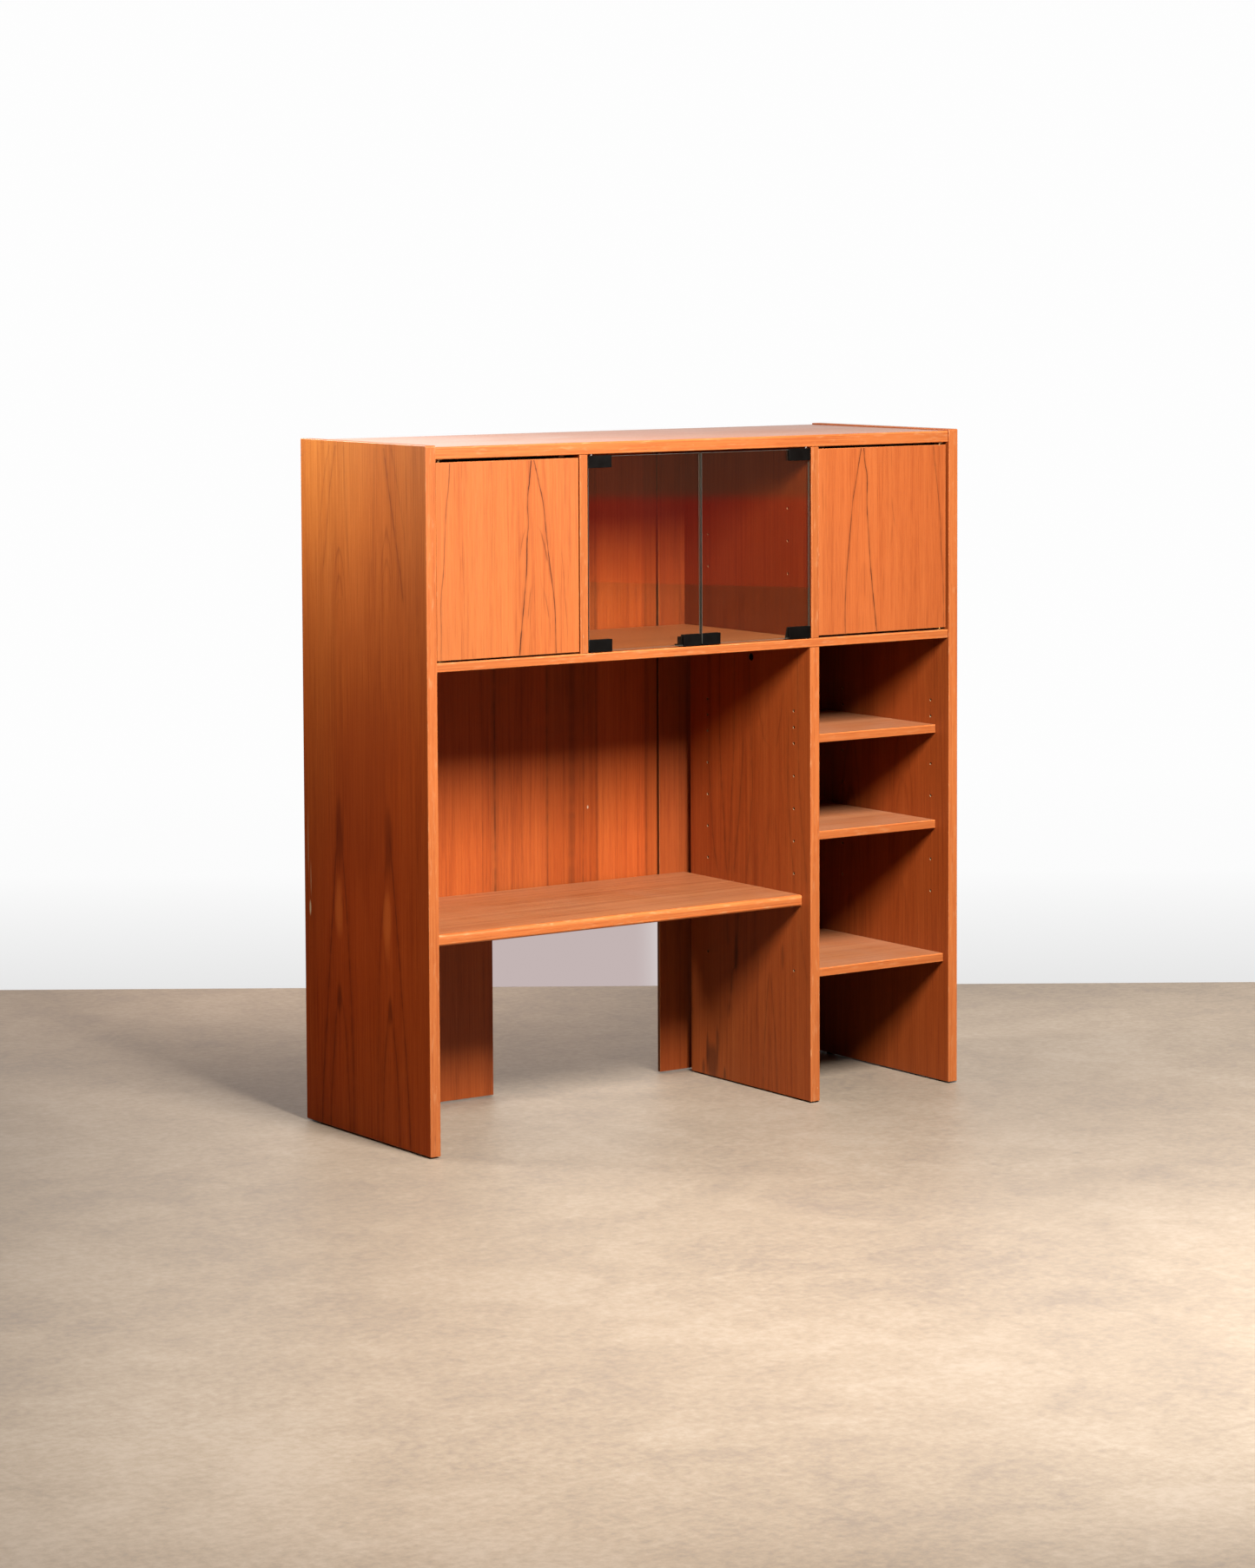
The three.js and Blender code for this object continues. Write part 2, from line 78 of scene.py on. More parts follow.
# ------------------------------------------------------------------------------------------------ node helpers
class Tree:
    """a material's node tree with short ways to make nodes; a socket or a number may be given for any input"""

    def __init__(self, name):
        self.mat = bpy.data.materials.new(name)
        self.mat.use_nodes = True
        self.nt = self.mat.node_tree
        self.nt.nodes.clear()
        self.out = self.nt.nodes.new("ShaderNodeOutputMaterial")
        self.coord = None

    def put(self, sock, v):
        if v is None:
            return
        if isinstance(v, bpy.types.NodeSocket):
            self.nt.links.new(v, sock)
        elif isinstance(v, (tuple, list)) and len(v) == 3 and sock.type == "RGBA":
            sock.default_value = (*v, 1.0)
        else:
            sock.default_value = v

    def xyz(self):
        if self.coord is None:
            tc = self.nt.nodes.new("ShaderNodeTexCoord")
            sp = self.nt.nodes.new("ShaderNodeSeparateXYZ")
            self.nt.links.new(tc.outputs["Object"], sp.inputs[0])
            self.coord = {"X": sp.outputs[0], "Y": sp.outputs[1], "Z": sp.outputs[2], "P": tc.outputs["Object"]}
        return self.coord

    def m(self, op, a, b=None, c=None, clamp=False):
        n = self.nt.nodes.new("ShaderNodeMath")
        n.operation = op
        n.use_clamp = clamp
        self.put(n.inputs[0], a)
        self.put(n.inputs[1], b)
        self.put(n.inputs[2], c)
        return n.outputs[0]

    def vec(self, x, y, z):
        n = self.nt.nodes.new("ShaderNodeCombineXYZ")
        self.put(n.inputs[0], x)
        self.put(n.inputs[1], y)
        self.put(n.inputs[2], z)
        return n.outputs[0]

    def noise(self, v, scale=1.0, detail=2.0, rough=0.5, dist=0.0):
        n = self.nt.nodes.new("ShaderNodeTexNoise")
        n.noise_dimensions = "3D"
        self.put(n.inputs["Vector"], v)
        n.inputs["Scale"].default_value = scale
        n.inputs["Detail"].default_value = detail
        n.inputs["Roughness"].default_value = rough
        n.inputs["Distortion"].default_value = dist
        return n.outputs[0]

    def white(self, w):
        n = self.nt.nodes.new("ShaderNodeTexWhiteNoise")
        n.noise_dimensions = "1D"
        self.put(n.inputs["W"], w)
        return n.outputs["Value"]

    def remap(self, v, a, b, c=0.0, d=1.0, smooth=False):
        n = self.nt.nodes.new("ShaderNodeMapRange")
        n.interpolation_type = "SMOOTHSTEP" if smooth else "LINEAR"
        n.clamp = True
        self.put(n.inputs["Value"], v)
        self.put(n.inputs["From Min"], a)
        self.put(n.inputs["From Max"], b)
        self.put(n.inputs["To Min"], c)
        self.put(n.inputs["To Max"], d)
        return n.outputs[0]

    def ramp(self, v, stops, kind="LINEAR"):
        n = self.nt.nodes.new("ShaderNodeValToRGB")
        n.color_ramp.interpolation = kind
        e = n.color_ramp.elements
        while len(e) > 1:
            e.remove(e[-1])
        for i, (p, c) in enumerate(stops):
            if isinstance(c, (int, float)):
                c = (c, c, c)
            k = e[0] if i == 0 else e.new(p)
            k.position = p
            k.color = (*c, 1.0)
        self.put(n.inputs[0], v)
        return n.outputs[0]

    def curve(self, v, pts):
        """a float curve through the points, both axes 0..1"""
        n = self.nt.nodes.new("ShaderNodeFloatCurve")
        c = n.mapping.curves[0]
        pts = sorted(pts)
        c.points[0].location = pts[0]
        c.points[1].location = pts[-1]
        for p in pts[1:-1]:
            c.points.new(*p)
        n.mapping.extend = "HORIZONTAL"
        n.mapping.update()
        self.put(n.inputs["Value"], v)
        return n.outputs[0]

    def mix(self, fac, a, b, kind="MIX"):
        n = self.nt.nodes.new("ShaderNodeMix")
        n.data_type = "RGBA"
        n.blend_type = kind
        n.clamp_factor = True
        self.put(n.inputs[0], fac)
        self.put(n.inputs[6], a)
        self.put(n.inputs[7], b)
        return n.outputs[2]

    def bump(self, h, strength=0.2, distance=0.0002, normal=None):
        n = self.nt.nodes.new("ShaderNodeBump")
        n.inputs["Strength"].default_value = strength
        n.inputs["Distance"].default_value = distance
        self.put(n.inputs["Height"], h)
        self.put(n.inputs["Normal"], normal)
        return n.outputs[0]

    def surface(self, color, rough, normal=None, metal=0.0, spec=0.5, coat=0.0, coat_rough=0.2, ior=1.5, sheen=0.0):
        b = self.nt.nodes.new("ShaderNodeBsdfPrincipled")
        self.put(b.inputs["Base Color"], color)
        self.put(b.inputs["Roughness"], rough)
        self.put(b.inputs["Metallic"], metal)
        self.put(b.inputs["Normal"], normal)
        b.inputs["IOR"].default_value = ior
        b.inputs["Specular IOR Level"].default_value = spec
        b.inputs["Coat Weight"].default_value = coat
        b.inputs["Coat Roughness"].default_value = coat_rough
        b.inputs["Sheen Weight"].default_value = sheen
        self.nt.links.new(b.outputs[0], self.out.inputs[0])
        return b


# ------------------------------------------------------------------------------------------------ teak
LIGHT = (0.640, 0.178, 0.052)
MID = (0.540, 0.130, 0.034)
DARK = (0.360, 0.068, 0.015)
LINE = (0.080, 0.016, 0.005)
DEPTH = 0.48                                         # overall reflectance of the oiled teak


def scaled(c, k):
    return tuple(min(1.0, x * k) for x in c)


def teak(name, along="Z", across="X", seed=0.0, light=LIGHT, mid=MID, dark=DARK, line=LINE,
         heart=0.0, mirror=None, apex=0.0, d0=0.25, taper=0.0, lam=0.009, wob=0.010, ring=0.5, strong=3.0,
         streak=0.55, band=0.5, fine=0.35, leaves=None, lines=(), blotch=(), rough=0.42, haze=0.0, haze_col=(0.74, 0.50, 0.36),
         spec=0.30, apexes=None, soft=(0.35, 1.25, 0.22), hair=0.16, mid_streak=0.12, line_col=None,
         painted_shading=None):
    """veneer: growth rings of a tapering log cut by the face, grain streaks, pores, leaf joints and named dark lines.
    along, across: the axes of the grain and across it. heart: the rings' middle on the across axis; mirror: the joint of
    two book-matched leaves. lines: (points (along, across), half width, strength). leaves: [(edge, tone), ...] ascending."""
    t = Tree(name)
    P = t.xyz()
    third = [k for k in "XYZ" if k not in (along, across)][0]
    u, w, h = P[across], P[along], P[third]
    s = seed * 7.31
    base = u
    if leaves:
        # each leaf is shifted along the grain, so that its figure breaks at the joint
        acc = None
        for i, (edge, tone) in enumerate(leaves):
            g = t.m("GREATER_THAN", u, edge)
            acc = g if acc is None else t.m("ADD", acc, g)
        leaf = acc
    else:
        leaf = None
    w_s = t.m("ADD", w, s) if leaf is None else t.m("MULTIPLY_ADD", leaf, 0.37, t.m("ADD", w, s))
    h_s = t.m("ADD", h, s * 0.37)
    low = t.noise(t.vec(t.m("MULTIPLY", u, 4.0), t.m("MULTIPLY", w_s, 1.7), h_s), 1.0, 2.0, 0.5)
    lowc = t.m("SUBTRACT", low, 0.5)
    wig = t.m("SUBTRACT", t.noise(t.vec(t.m("MULTIPLY", u, 22.0), t.m("MULTIPLY", w_s, 9.0), h_s), 1.0, 1.0, 0.5), 0.5)
    uw = t.m("ADD", u, t.m("ADD", t.m("MULTIPLY", lowc, wob), t.m("MULTIPLY", wig, wob * 0.12)))
    # ring field
    if mirror is not None:
        uh = t.m("SUBTRACT", t.m("ABSOLUTE", t.m("SUBTRACT", uw, mirror)), abs(heart - mirror))
    else:
        uh = t.m("SUBTRACT", uw, heart)
    if apexes:
        # heights at which one more ring closes in an arch, lowest first; the second leaf's arches sit a little lower
        hs = [-0.2] + list(apexes) + [1.9]
        n = len(hs) - 1
        wj = t.m("MULTIPLY_ADD", t.m("SIGN", t.m("SUBTRACT", u, mirror or 0.0)), 0.5 * apex, w)
        d = t.m("MULTIPLY", t.curve(t.remap(wj, -0.2, 1.9), [((z + 0.2) / 2.1, i / n) for i, z in enumerate(hs)]), (n + 0.12) * lam)
    else:
        d = t.m("MAXIMUM", t.m("MULTIPLY_ADD", t.m("SUBTRACT", w, apex), taper, d0), 0.0)
    R = t.m("SQRT", t.m("ADD", t.m("MULTIPLY", uh, uh), t.m("MULTIPLY", d, d)))
    tr = t.m("ADD", t.m("DIVIDE", R, lam), t.m("MULTIPLY", lowc, 2.2))
    idx = t.m("FLOOR", tr)
    fr = t.m("FRACT", tr)
    rnd = t.white(t.m("ADD", idx, s + 0.5))
    prof = t.ramp(fr, [(0.0, 0.45), (0.07, 0.05), (0.35, 0.0), (0.72, 0.20), (0.93, 0.95), (1.0, 0.45)])
    fade = t.remap(low, 0.30, 0.62, 0.35, 1.0)
    ringm = t.m("MULTIPLY", t.m("MULTIPLY", prof, t.m("MULTIPLY_ADD", t.m("POWER", rnd, strong), 0.88, 0.12)),
                t.m("MULTIPLY", fade, ring), clamp=True)
    # streaks
    sv = t.vec(t.m("MULTIPLY", uw, 330.0), t.m("MULTIPLY", w_s, 4.6), h_s)
    st = t.noise(sv, 1.0, 4.0, 0.62)
    fv = t.vec(t.m("MULTIPLY", uw, 1500.0), t.m("MULTIPLY", w_s, 26.0), h_s)
    fi = t.noise(fv, 1.0, 2.0, 0.6)
    bv = t.vec(t.m("MULTIPLY", uw, 26.0), t.m("MULTIPLY", w_s, 0.55), h_s)
    ba = t.noise(bv, 1.0, 3.0, 0.55)
    mv = t.vec(t.m("MULTIPLY", uw, 105.0), t.m("MULTIPLY", w_s, 1.9), h_s)
    ms = t.noise(mv, 1.0, 2.0, 0.5)
    hv = t.vec(t.m("MULTIPLY", uw, 430.0), t.m("MULTIPLY", w_s, 12.0), t.m("ADD", h_s, 3.1))
    ha = t.m("MULTIPLY", t.remap(t.noise(hv, 1.0, 1.0, 0.5), 0.56, 0.70, 0.0, 1.0), t.remap(ms, 0.60, 0.36, 0.25, 1.0))
    pv = t.vec(t.m("MULTIPLY", uw, 2700.0), t.m("MULTIPLY", w_s, 95.0), h_s)
    po = t.remap(t.noise(pv, 1.0, 1.0, 0.5), 0.60, 0.74, 0.0, 1.0)
    val = t.m("MULTIPLY_ADD", t.m("SUBTRACT", st, 0.5), streak * 1.7, 0.56)
    val = t.m("MULTIPLY_ADD", t.m("SUBTRACT", ba, 0.5), band * 1.5, val)
    val = t.m("MULTIPLY_ADD", t.m("SUBTRACT", fi, 0.5), fine, val)
    val = t.m("MULTIPLY_ADD", t.m("SUBTRACT", ms, 0.5), mid_streak * 1.5, val)
    val = t.m("MULTIPLY_ADD", ringm, -0.34, val)
    col = t.ramp(val, [(0.0, scaled(dark, 0.8)), (0.28, dark), (0.56, mid), (0.86, light), (1.0, scaled(light, 1.06))])
    col = t.mix(t.m("MULTIPLY", ringm, 0.62), col, line)
    col = t.mix(t.m("MULTIPLY", ha, hair), col, scaled(dark, 0.55))
    col = t.mix(t.m("MULTIPLY", po, 0.20), col, scaled(dark, 0.6))
    # slow change of hue, redder and yellower
    hue = t.remap(t.noise(t.vec(t.m("MULTIPLY", u, 3.1), t.m("MULTIPLY", w_s, 1.1), h_s), 1.0, 1.0), 0.3, 0.7, 0.0, 1.0)
    col = t.mix(1.0, col, t.mix(hue, (1.03, 0.93, 0.84), (0.97, 1.05, 1.10)), "MULTIPLY")
    if leaves:
        span0, span1 = leaves[0][0] - 0.05, leaves[-1][0] + 0.05
        f = t.remap(u, span0, span1)
        stops = [(0.0, 1.0)] + [((e - span0) / (span1 - span0), tone) for e, tone in leaves]
        col = t.mix(1.0, col, t.ramp(f, stops, "CONSTANT"), "MULTIPLY")
        for e, tone in leaves:
            j = t.remap(t.m("ABSOLUTE", t.m("SUBTRACT", u, e)), 0.0002, 0.0009, 1.0, 0.0)
            col = t.mix(t.m("MULTIPLY", j, 0.45), col, scaled(dark, 0.5))
    # named lines
    mask = None
    for pts, half, power in lines:
        ws = [q[0] for q in pts]
        us = [q[1] for q in pts]
        w0, w1 = min(ws), max(ws)
        u0, u1 = min(us) - 0.002, max(us) + 0.002
        f = t.remap(w, w0, w1)
        c = t.curve(f, [((a - w0) / (w1 - w0), (b - u0) / (u1 - u0)) for a, b in pts])
        ul = t.m("MULTIPLY_ADD", c, u1 - u0, u0)
        du = t.m("SUBTRACT", t.m("MULTIPLY_ADD", wig, 0.0022, u), ul)
        wid = t.remap(st, 0.25, 0.75, half * 0.55, half * 1.5)
        core = t.remap(t.m("DIVIDE", t.m("ABSOLUTE", du), wid), soft[0], soft[1], 1.0, 0.0, smooth=True)
        skirt = t.m("MULTIPLY", t.remap(t.m("ABSOLUTE", du), 0.0, half * 6.0, 1.0, 0.0, smooth=True), soft[2])
        inside = t.m("MULTIPLY", t.m("GREATER_THAN", w, w0 - 0.001), t.m("LESS_THAN", w, w1 + 0.001))
        run = min(0.030, 0.25 * (w1 - w0))
        ends = inside
        if w0 > 0.02 and not (0.905 < w0 < 0.920) and not (0.34 < w0 < 0.35):
            ends = t.m("MULTIPLY", ends, t.remap(w, w0, w0 + run))
        if w1 < 1.26 and not (0.884 < w1 < 0.90):
            ends = t.m("MULTIPLY", ends, t.remap(w, w1, w1 - run))
        k = t.m("MULTIPLY", t.m("MAXIMUM", core, skirt), t.m("MULTIPLY", ends, power))
        k = t.m("MULTIPLY", k, t.remap(t.noise(t.vec(t.m("MULTIPLY", w, 38.0), power * 10.0, s), 1.0, 1.0), 0.25, 0.6, 0.45, 1.0))
        mask = k if mask is None else t.m("MAXIMUM", mask, k)
    if mask is not None:
        col = t.mix(mask, col, line_col or line)
    # blotches: worn, stained or scarred places, and painted shade on the right back board (centre, radii, colour,
    # strength)
    for cen, rad, bc, power in blotch:
        dx = [t.m("DIVIDE", t.m("SUBTRACT", P[k], cen[i]), rad[i]) for i, k in enumerate("XYZ")]
        rr = t.m("SQRT", t.m("ADD", t.m("ADD", t.m("MULTIPLY", dx[0], dx[0]), t.m("MULTIPLY", dx[1], dx[1])),
                             t.m("MULTIPLY", dx[2], dx[2])))
        rr = t.m("ADD", rr, t.m("MULTIPLY", t.m("SUBTRACT", st, 0.5), 1.1))
        rr = t.m("ADD", rr, t.m("MULTIPLY", wig, 0.8))
        col = t.mix(t.m("MULTIPLY", t.remap(rr, 0.35, 1.05, 1.0, 0.0, smooth=True), power), col, bc)
    if haze:
        hz = t.noise(t.vec(t.m("MULTIPLY", P["X"], 9.0), t.m("MULTIPLY", P["Y"], 7.0), t.m("ADD", P["Z"], s)), 1.0, 4.0, 0.6, 0.6)
        col = t.mix(t.m("MULTIPLY", t.remap(hz, 0.30, 0.80), haze), col, haze_col)
    ro = t.m("MULTIPLY_ADD", t.m("SUBTRACT", st, 0.5), -0.14, rough)
    ro = t.m("MULTIPLY_ADD", po, 0.18, ro)
    ro = t.m("MULTIPLY_ADD", lowc, 0.12, ro)
    height = t.m("MULTIPLY_ADD", po, -0.8, t.m("MULTIPLY", fi, 0.55))
    height = t.m("MULTIPLY_ADD", st, 0.35, height)
    if painted_shading:
        # painted light and shade up the board: the colour is multiplied by (height, (r, g, b)) stops that stand in for
        # how the light falls on it
        top = painted_shading[-1][0]
        col = t.mix(1.0, col, t.ramp(t.m("DIVIDE", w, top), [(z / top, c) for z, c in painted_shading]), "MULTIPLY")
    col = t.mix(1.0, col, (DEPTH, DEPTH, DEPTH), "MULTIPLY")
    t.surface(col, ro, t.bump(height, 0.30, 0.00018), spec=spec)
    return t.mat


def lipping(name, along="X", seed=0.0, tone=1.0, wear=0.35, nick=0.6, light=(0.70, 0.214, 0.057), mid=(0.63, 0.172, 0.042), dark=(0.48, 0.108, 0.024)):
    """solid teak along an edge: straight grain, slightly paler than the veneer, rubbed and nicked"""
    t = Tree(name)
    P = t.xyz()
    o = [k for k in "XYZ" if k != along]
    w = P[along]
    s = seed * 3.77
    a, b = P[o[0]], P[o[1]]
    lo = t.m("SUBTRACT", t.noise(t.vec(t.m("MULTIPLY", w, 3.0), a, s), 1.0, 1.0), 0.5)
    va = t.m("MULTIPLY_ADD", lo, 3.0, t.m("MULTIPLY", a, 620.0))
    vb = t.m("MULTIPLY_ADD", lo, 2.0, t.m("MULTIPLY", b, 480.0))
    g = t.noise(t.vec(va, vb, t.m("MULTIPLY_ADD", w, 5.5, s)), 1.0, 3.0, 0.6)
    f = t.noise(t.vec(t.m("MULTIPLY", a, 2100.0), t.m("MULTIPLY", b, 2100.0), t.m("MULTIPLY_ADD", w, 60.0, s)), 1.0, 2.0, 0.6)
    v = t.m("MULTIPLY_ADD", t.m("SUBTRACT", g, 0.5), 1.5, 0.60)
    v = t.m("MULTIPLY_ADD", t.m("SUBTRACT", f, 0.5), 0.55, v)
    lum = t.remap(t.noise(t.vec(t.m("MULTIPLY", w, 1.7), s, s), 1.0, 2.0), 0.25, 0.75, 0.86, 1.10)
    col = t.ramp(v, [(0.0, scaled(dark, 0.55 * tone)), (0.3, scaled(dark, tone)), (0.62, scaled(mid, tone)),
                     (1.0, scaled(light, tone))])
    col = t.mix(1.0, col, t.vec(lum, lum, lum), "MULTIPLY")
    rub = t.noise(t.vec(t.m("MULTIPLY", a, 160.0), t.m("MULTIPLY", b, 160.0), t.m("MULTIPLY_ADD", w, 34.0, s + 2.0)), 1.0, 3.0, 0.6)
    col = t.mix(t.m("MULTIPLY", t.remap(rub, 0.56, 0.72), wear), col, (0.80, 0.36, 0.15))
    nk = t.noise(t.vec(t.m("MULTIPLY", a, 420.0), t.m("MULTIPLY", b, 420.0), t.m("MULTIPLY_ADD", w, 95.0, s + 5.0)), 1.0, 1.0, 0.4)
    col = t.mix(t.m("MULTIPLY", t.remap(nk, 0.78, 0.82), nick), col, (0.92, 0.62, 0.36))
    dk = t.noise(t.vec(t.m("MULTIPLY", a, 300.0), t.m("MULTIPLY", b, 300.0), t.m("MULTIPLY_ADD", w, 22.0, s + 9.0)), 1.0, 2.0, 0.5)
    col = t.mix(t.m("MULTIPLY", t.remap(dk, 0.66, 0.76), 0.35), col, (0.20, 0.038, 0.010))
    ro = t.m("MULTIPLY_ADD", t.m("SUBTRACT", g, 0.5), -0.16, 0.40)
    ro = t.m("MULTIPLY_ADD", t.remap(rub, 0.56, 0.72), 0.12, ro)
    col = t.mix(1.0, col, (DEPTH, DEPTH, DEPTH), "MULTIPLY")
    t.surface(col, ro, t.bump(t.m("ADD", t.m("MULTIPLY", f, 0.6), t.m("MULTIPLY", nk, 0.6)), 0.28, 0.0002), spec=0.30)
    return t.mat


def core_material():
    """the pale board that shows in drilled holes and raw ends"""
    t = Tree("raw_core")
    P = t.xyz()
    g = t.noise(P["P"], 900.0, 3.0, 0.7)
    c = t.noise(P["P"], 260.0, 2.0, 0.6)
    col = t.ramp(t.m("ADD", t.m("MULTIPLY", g, 0.6), t.m("MULTIPLY", c, 0.4)),
                 [(0.3, (0.12, 0.055, 0.022)), (0.5, (0.22, 0.12, 0.06)), (0.7, (0.32, 0.21, 0.12))])
    t.surface(col, 0.8, t.bump(g, 0.5, 0.0003), spec=0.3)
    return t.mat


CORE = core_material()


# ------------------------------------------------------------------------------------------------ boards
def finish_mesh(ob, angle=None):
    """bakes the modifiers into the mesh"""
    dg = bpy.context.evaluated_depsgraph_get()
    ev = ob.evaluated_get(dg)
    me = bpy.data.meshes.new_from_object(ev, preserve_all_data_layers=True, depsgraph=dg)
    ob.modifiers.clear()
    old = ob.data
    ob.data = me
    bpy.data.meshes.remove(old)
    return ob


def link(ob):
    bpy.context.scene.collection.objects.link(ob)
    return ob


def cylinder(bm, axis, start, length, r0, r1=None, sides=24, cap0=True, cap1=True):
    """a closed cylinder or cone from start along +axis for a signed length (metres)"""
    r1 = r0 if r1 is None else r1
    k = "xyz".index(axis)
    o = [(k + 1) % 3, (k + 2) % 3]
    rings = []
    for rr, off in ((r0, 0.0), (r1, length)):
        ring = []
        for i in range(sides):
            a = 2 * math.pi * i / sides
            q = [0.0, 0.0, 0.0]
            q[k] = start[k] + off
            q[o[0]] = start[o[0]] + rr * math.cos(a)
            q[o[1]] = start[o[1]] + rr * math.sin(a)
            ring.append(bm.verts.new(q))
        rings.append(ring)
    fs = []
    for i in range(sides):
        j = (i + 1) % sides
        f = [rings[0][i], rings[0][j], rings[1][j], rings[1][i]]
        fs.append(bm.faces.new(f if length > 0 else f[::-1]))
    c0 = bm.faces.new(rings[0][::-1] if length > 0 else rings[0])
    c1 = bm.faces.new(rings[1] if length > 0 else rings[1][::-1])
    return fs + [c0, c1]


def board(name, lo, hi, mats, edge_axes, radii, holes=(), body="root", replaces=None, cuts=()):
    """a veneered board with eased arrises. lo, hi: its corners in metres. mats: [face, edge, arris].
    edge_axes: axes whose end faces are lipped edges, such as 'YZ'. radii: {axis sign pairs: radius}, such as
    {'-Y': 0.003}; 'all' is the rest. holes: (axis, sign, (x, y, z), diameter, depth)."""
    bm = bmesh.new()
    bmesh.ops.create_cube(bm, size=1.0)
    c = [(a + b) / 2 for a, b in zip(lo, hi)]
    s = [b - a for a, b in zip(lo, hi)]
    for v in bm.verts:
        v.co = Vector([c[i] + v.co[i] * s[i] for i in range(3)])
    wl = bm.edges.layers.float.new("bevel_weight_edge")
    big = max(radii.values())
    face_of = {}
    for f in bm.faces:
        n = f.normal
        k = max(range(3), key=lambda i: abs(n[i]))
        face_of[f] = ("+" if n[k] > 0 else "-") + "XYZ"[k]
        f.material_index = 1 if "XYZ"[k] in edge_axes else 0
    for e in bm.edges:
        names = {face_of[f] for f in e.link_faces}
        r = radii["all"]
        for key, val in radii.items():
            if key == "all":
                continue
            want = set(key.split(","))
            if want <= names:
                r = val
        e[wl] = r / big
    me = bpy.data.meshes.new(name)
    bm.to_mesh(me)
    bm.free()
    for m in mats + [CORE]:
        me.materials.append(m)
    ob = link(bpy.data.objects.new(name, me))
    bv = ob.modifiers.new("bevel", "BEVEL")
    bv.limit_method = "WEIGHT"
    bv.width = big
    bv.offset_type = "OFFSET"
    bv.segments = 4
    bv.material = 2
    bv.profile = 0.5
    finish_mesh(ob)
    if holes or cuts:
        cb = bmesh.new()
        for axis, sign, p, dia, depth in holes:
            k = "xyz".index(axis)
            st = list(p)
            st[k] -= sign * 0.001
            cylinder(cb, axis, st, sign * (depth + 0.001), dia / 2, sides=20)
        cm = bpy.data.meshes.new(name + "_cut")
        bmesh.ops.recalc_face_normals(cb, faces=cb.faces)
        for f in cb.faces:
            f.material_index = 3
        cb.to_mesh(cm)
        cb.free()
        for m in mats + [CORE]:
            cm.materials.append(m)
        co = link(bpy.data.objects.new(name + "_cut", cm))
        bo = ob.modifiers.new("holes", "BOOLEAN")
        bo.operation = "DIFFERENCE"
        bo.solver = "EXACT"
        bo.object = co
        finish_mesh(ob)
        bpy.data.objects.remove(co, do_unlink=True)
        bpy.data.meshes.remove(cm)
    smooth(ob)
    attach(ob, body)
    if replaces:
        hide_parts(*replaces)
    return ob


def smooth(ob, angle=40.0):
    """smooth shading with the normals of the large faces, sharp at real corners"""
    me = ob.data
    for p in me.polygons:
        p.use_smooth = True
    bm = bmesh.new()
    bm.from_mesh(me)
    lim = math.radians(angle)
    for e in bm.edges:
        e.smooth = len(e.link_faces) == 2 and e.calc_face_angle(0.0) < lim
    bm.to_mesh(me)
    bm.free()
    wn = ob.modifiers.new("normals", "WEIGHTED_NORMAL")
    wn.keep_sharp = True
    wn.mode = "FACE_AREA"
    wn.weight = 100
    return ob


PIN_ROWS = [254.5, 382.5, 446.5, 510.5, 574.5, 638.5, 702.5, 734.5, 766.5]
PIN_Y = [57.5, 345.0]


def pin_holes(rows, ys, x, sign):
    return [("x", sign, MM(x, y, z), 0.0056, 0.010) for z in rows for y in ys]


def lohi(node):
    a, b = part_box(node)
    return Vector(a), Vector(b)


# the figure of each board: (along, across) points of its strongest lines
DOOR_L_LINES = [
    ([(1.2784, -0.5655), (1.2314, -0.5687), (1.2032, -0.5726), (1.1415, -0.5771), (1.0746, -0.5807), (1.0233, -0.5863),
      (0.9716, -0.5862), (0.9142, -0.5868)], 0.0010, 0.72),
    ([(1.2784, -0.3878), (1.236, -0.3925), (1.197, -0.3965), (1.1604, -0.3943), (1.1344, -0.3970), (1.0796, -0.3990),
      (1.0275, -0.4040), (0.9754, -0.4100), (0.9142, -0.4166)], 0.0015, 0.96),
    ([(1.2784, -0.3826), (1.2354, -0.3713), (1.1905, -0.3606), (1.1379, -0.3547), (1.0641, -0.3458), (1.0244, -0.3398),
      (0.9848, -0.3362), (0.9584, -0.3361), (0.9142, -0.3350)], 0.0013, 0.90),
    ([(1.1300, -0.3250), (1.0945, -0.3204), (1.01, -0.3130), (0.9703, -0.3101), (0.9306, -0.3088)], 0.0008, 0.45),
    ([(1.1350, -0.3620), (1.1100, -0.3575), (1.0800, -0.3530)], 0.0010, 0.55),
    ([(1.0700, -0.3800), (1.0400, -0.3870), (1.0000, -0.3905), (0.9500, -0.3940)], 0.0007, 0.30),
    ([(1.0700, -0.3700), (1.0300, -0.3640), (0.9800, -0.3560)], 0.0007, 0.25),
    ([(1.1590, -0.3930), (1.1570, -0.3783), (1.1447, -0.3679), (1.1238, -0.3617), (1.1030, -0.3554), (1.0780, -0.3492), (1.0447, -0.3450)], 0.0015, 0.62),
    ([(1.1590, -0.3960), (1.1450, -0.4030), (1.1250, -0.4090), (1.0900, -0.4140)], 0.0013, 0.40),
    ([(1.0520, -0.3780), (1.0450, -0.3660), (1.0250, -0.3590), (0.9800, -0.3500), (0.9400, -0.3460)], 0.0012, 0.42),
    ([(1.0520, -0.3790), (1.0450, -0.3870), (1.0200, -0.3930), (0.9700, -0.3980)], 0.0012, 0.42),
]
